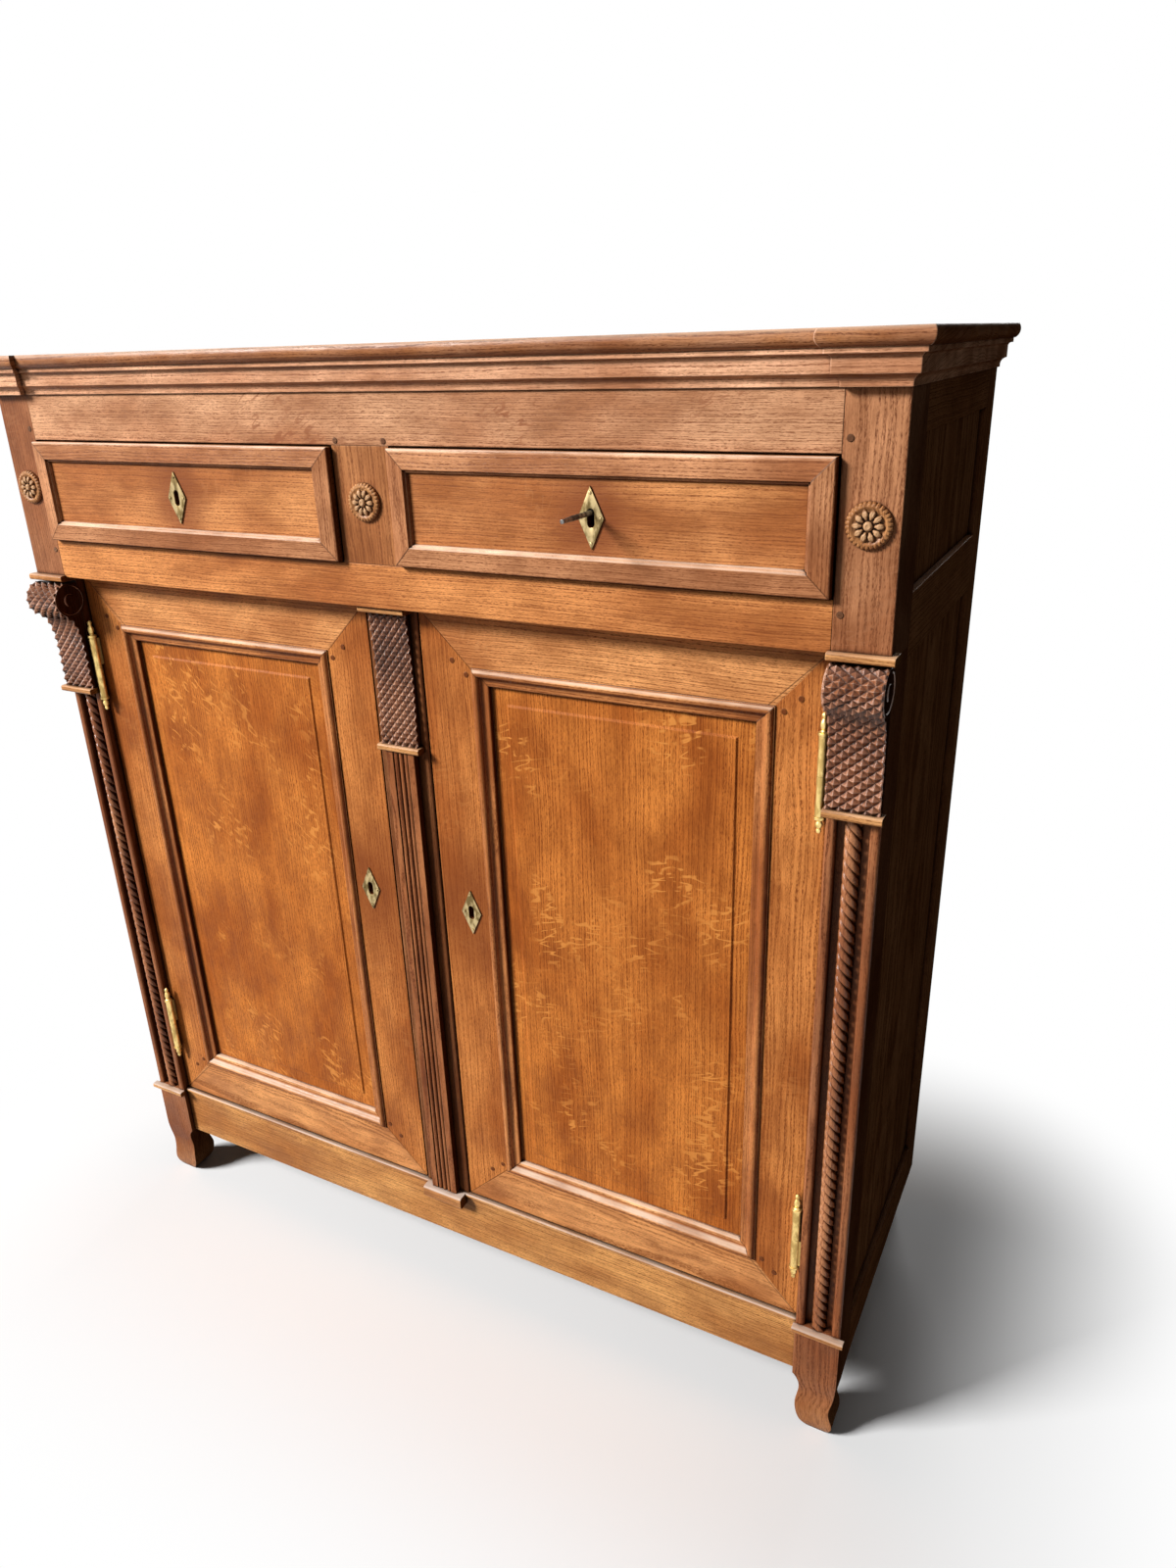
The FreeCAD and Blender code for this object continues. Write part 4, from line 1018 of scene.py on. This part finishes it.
petal = began("petal", bpy.ops.mesh.primitive_uv_sphere_add, segments=20, ring_count=12, radius=1 * MM)
scale_by(petal_halves)
pick("VERT", lambda vertex: vertex.co.x < -1.5 * MM)
scale_by(inner_shares)
pick("VERT", is_on_crease)
move_by((0, 0, -crease_depth))
pick_all()
move_by((petal_reach, 0, petal_lift))
to_mode("OBJECT")
flower = [petal]
for turn in range(1, petals):
    leaf = twin_of(petal, "petal_copy", (0, 0, 0))
    bpy.ops.transform.rotate(value=2 * math.pi * turn / petals, orient_axis="Z", center_override=(0, 0, 0))
    bpy.ops.object.transform_apply(location=True, rotation=True)
    flower.append(leaf)

button = began("button", bpy.ops.mesh.primitive_uv_sphere_add, segments=24, ring_count=12,
               radius=button_radius)
scale_by(button_shares)
pick("VERT", lambda vertex: vertex.co.xy.length < dimple_radius and vertex.co.z > 0)
move_by((0, 0, -dimple_depth))
pick_all()
move_by((0, 0, button_lift))
to_mode("OBJECT")
print("flower has", len(flower), "petals")

# %% [markdown]
# Disc, petals and button are joined, and the voxel Remesh modifier melts them into one skin with the
# soft inner corners that a gouge leaves. The three rosettes are alike, so two are copies of the first.

# %% The three rosettes
skin_voxel = 0.42 * MM

joined(disc, button, *flower)
applied(disc, "REMESH", mode="VOXEL", voxel_size=skin_voxel)
applied(disc, "SMOOTH", factor=0.5, iterations=2)
disc.rotation_euler = (math.radians(90), 0, 0)
disc.location = (rosette_high.x - rosette_radius, rosette_high.y, rosette_height)
settle(disc, 60)
side_step = rosette_high.x - rosette_radius
centre_rosette = twin_of(disc, "centre_rosette", (-side_step, 0, 0))
left_rosette = twin_of(disc, "left_rosette", (-2 * side_step, 0, 0))
for rosette in (disc, centre_rosette, left_rosette):
    set_in(rosette, "oak_rosettes", "cabinet", "oak", "rosettes")

# %% [markdown]
# The consoles under the drawers are covered with diamond points, cut with a V tool along two sets
# of slanting lines. A grid turned by 45 degrees gives the lines, and Poke raises a point in every
# square. The sheet is trimmed to the console's front, and a Curve modifier bends it along the
# console's side view. Its border is then drawn back to the post, which closes the solid.

# %% Diamond-point sheets
diamond_height = 13.2 * MM
diamond_cut = 5.0 * MM


def side_view(name, points):
    """A smooth curve through points given as (down, forward) in millimetres, and its length."""
    drawing = bpy.data.curves.new(name, "CURVE")
    drawing.dimensions = "2D"
    drawing.resolution_u = 24
    line = drawing.splines.new("BEZIER")
    line.bezier_points.add(len(points) - 1)
    for knot, (down, forward) in zip(line.bezier_points, points):
        knot.co = (down * MM, forward * MM, 0)
        knot.handle_left_type = "AUTO"
        knot.handle_right_type = "AUTO"
    curve = bpy.data.objects.new(name, drawing)
    bpy.context.scene.collection.objects.link(curve)
    return curve, line.calc_length()


def diamond_sheet(name, width, length, diamond_width):
    """A flat sheet of diamond points along x, trimmed to a width and a length, with a level border."""
    cells = 2 * math.ceil((length + width) / diamond_width / math.sqrt(2)) + 4
    piece = began(name, bpy.ops.mesh.primitive_grid_add, x_subdivisions=cells, y_subdivisions=cells,
                  size=cells * diamond_width / math.sqrt(2))
    bpy.ops.transform.rotate(value=math.radians(45), orient_axis="Z", center_override=(0, 0, 0))
    scale_by((diamond_height / diamond_width, 1, 1))
    bpy.ops.mesh.poke(offset=diamond_cut, use_relative_offset=False)
    move_by((length / 2, 0, 0))
    for middle, outwards in (((0, 0, 0), (-1, 0, 0)), ((length, 0, 0), (1, 0, 0)),
                             ((0, width / 2, 0), (0, 1, 0)), ((0, -width / 2, 0), (0, -1, 0))):
        pick_all()
        bpy.ops.mesh.bisect(plane_co=middle, plane_no=outwards, clear_outer=True)
    pick("EDGE", lambda edge: edge.is_boundary)
    bpy.ops.mesh.extrude_edges_move()
    scale_by((1, 1, 0))
    pick_all()
    bpy.ops.mesh.remove_doubles(threshold=DOUBLES)
    move_by((0, 0, -diamond_cut))
    to_mode("OBJECT")
    return piece


def diamond_console(name, width, diamond_width, points, back, top):
    """A console with diamonds of that width, bent along a side view and drawn back."""
    curve, length = side_view(name + "_side_view", points)
    piece = diamond_sheet(name, width, length, diamond_width)
    piece.rotation_euler = (math.radians(-90), 0, 0)
    bpy.ops.object.transform_apply(rotation=True)
    applied(piece, "CURVE", object=curve, deform_axis="POS_X")
    bpy.data.objects.remove(curve)
    # What ran along the curve now runs down, and what stood forward of it looks along -y
    piece.matrix_world = Matrix(((0, 0, -1, 0), (0, -1, 0, back), (-1, 0, 0, top), (0, 0, 0, 1)))
    bpy.ops.object.transform_apply(location=True, rotation=True)
    to_mode("EDIT")
    pick("EDGE", lambda edge: edge.is_boundary)
    bpy.ops.mesh.extrude_edges_move()
    scale_by((1, 0, 1), (0, back, 0))
    pick("EDGE", lambda edge: edge.is_boundary)
    bpy.ops.mesh.edge_face_add()
    settle(piece, 20)
    return piece


print("diamonds are", round(diamond_height / MM, 1), "mm high")

# %% [markdown]
# A corner console starts in a roll under the drawer and runs down into a hollow throat. The roll is
# part of a circle, so its points come from angles. The throat is drawn through a few given points.

# %% Side view of a corner console
corner_low, corner_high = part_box("corner_consoles")
corner_width = 62 * MM
corner_diamond = 14.7 * MM
roll_radius = 29.7
roll_down, roll_forward = 29.2, 17.3
roll_angles = (75, 42, 0, -30, -46)
throat = ((61.5, 23.5), (78, 16.5), (99, 13.5), (134, 12.8), (172, 13.0))


def on_roll(degrees):
    """A point of the roll, as (down, forward) in millimetres. 0 degrees looks straight forward."""
    angle = math.radians(degrees)
    return roll_down - roll_radius * math.sin(angle), roll_forward + roll_radius * math.cos(angle)


corner_points = (*(on_roll(degrees) for degrees in roll_angles), *throat)
corner = diamond_console("right_corner_console", corner_width, corner_diamond, corner_points,
                         corner_high.y, corner_high.z)

# %% [markdown]
# The roll at the top of a corner console ends in a turned disc on both sides, with a raised rim and
# a button. It starts as a short cylinder whose face is inset and moved a few times.

# %% Roll ends and both corner consoles
roll_end_radius = 25.5 * MM
roll_end_points = 64
roll_end_depth = 2.4 * MM
roll_end_proud = 1.4 * MM
rim_lift = 0.4
roll_end_steps = ((0.5, rim_lift), (2.6, 0.0), (0.7, -1.2), (12.0, 0.3), (0.8, 0.9), (1.8, 0.5))


def roll_end(name, side):
    """A turned disc on one side of the roll: 1 for the right side, -1 for the left."""
    piece = began(name, bpy.ops.mesh.primitive_cylinder_add, vertices=roll_end_points,
                  radius=roll_end_radius, depth=roll_end_depth)
    turn_front(roll_end_steps)
    to_mode("OBJECT")
    piece.rotation_euler = (0, math.radians(90 * side), 0)
    piece.location = (side * (corner_width / 2 + roll_end_proud - roll_end_depth / 2 - rim_lift * MM),
                      corner_high.y - roll_forward * MM, corner_high.z - roll_down * MM)
    settle(piece, 40)
    return piece


joined(corner, roll_end("right_roll_end", 1), roll_end("left_roll_end", -1))
corner.location.x = corner_high.x - corner_width / 2
bpy.ops.object.transform_apply(location=True)
left_corner = twin_of(corner, "left_corner_console", (corner_low.x - corner_high.x + corner_width, 0, 0))
for console in (corner, left_corner):
    set_in(console, "oak_carving", "cabinet", "oak", "corner_consoles")

# %% [markdown]
# The centre console is flatter: a slab with a slight hollow in its face, a little above the middle.
# The same function makes it from three points, with smaller diamonds.

# %% Centre console
centre_low, centre_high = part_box("centre_console")
centre_depth = (centre_high.y - centre_low.y) / MM
centre_height = (centre_high.z - centre_low.z) / MM
centre_diamond = 11.3 * MM
hollow_depth = 3.5
hollow_down = 0.44 * centre_height

centre_points = ((0, centre_depth), (hollow_down, centre_depth - hollow_depth),
                 (centre_height, centre_depth))
centre = diamond_console("centre_diamond_console", centre_high.x - centre_low.x, centre_diamond,
                         centre_points, centre_high.y, centre_high.z)
set_in(centre, "oak_carving", "cabinet", "oak", "centre_console")

# %% [markdown]
# The escutcheons are sheet brass with a filed edge. The frame's own plates have the right outline and
# keyhole, so each is copied, its loose triangles are merged, and a Bevel modifier files the edges.

# %% Escutcheons with filed edges
filed_width = 0.45 * MM
plate_doubles = 0.005 * MM

for body in ("left_door", "right_door", "left_drawer", "right_drawer"):
    node = body + "_escutcheon"
    plate = twin_of(nodes[node], body + "_brass_plate", (0, 0, 0))
    to_mode("EDIT")
    pick_all()
    bpy.ops.mesh.remove_doubles(threshold=plate_doubles)
    bpy.ops.mesh.dissolve_limited(angle_limit=math.radians(1))
    applied(plate, "BEVEL", width=filed_width, segments=2, limit_method="ANGLE",
            angle_limit=math.radians(40))
    settle(plate, 40)
    set_in(plate, "aged_brass", body, "brass", node)
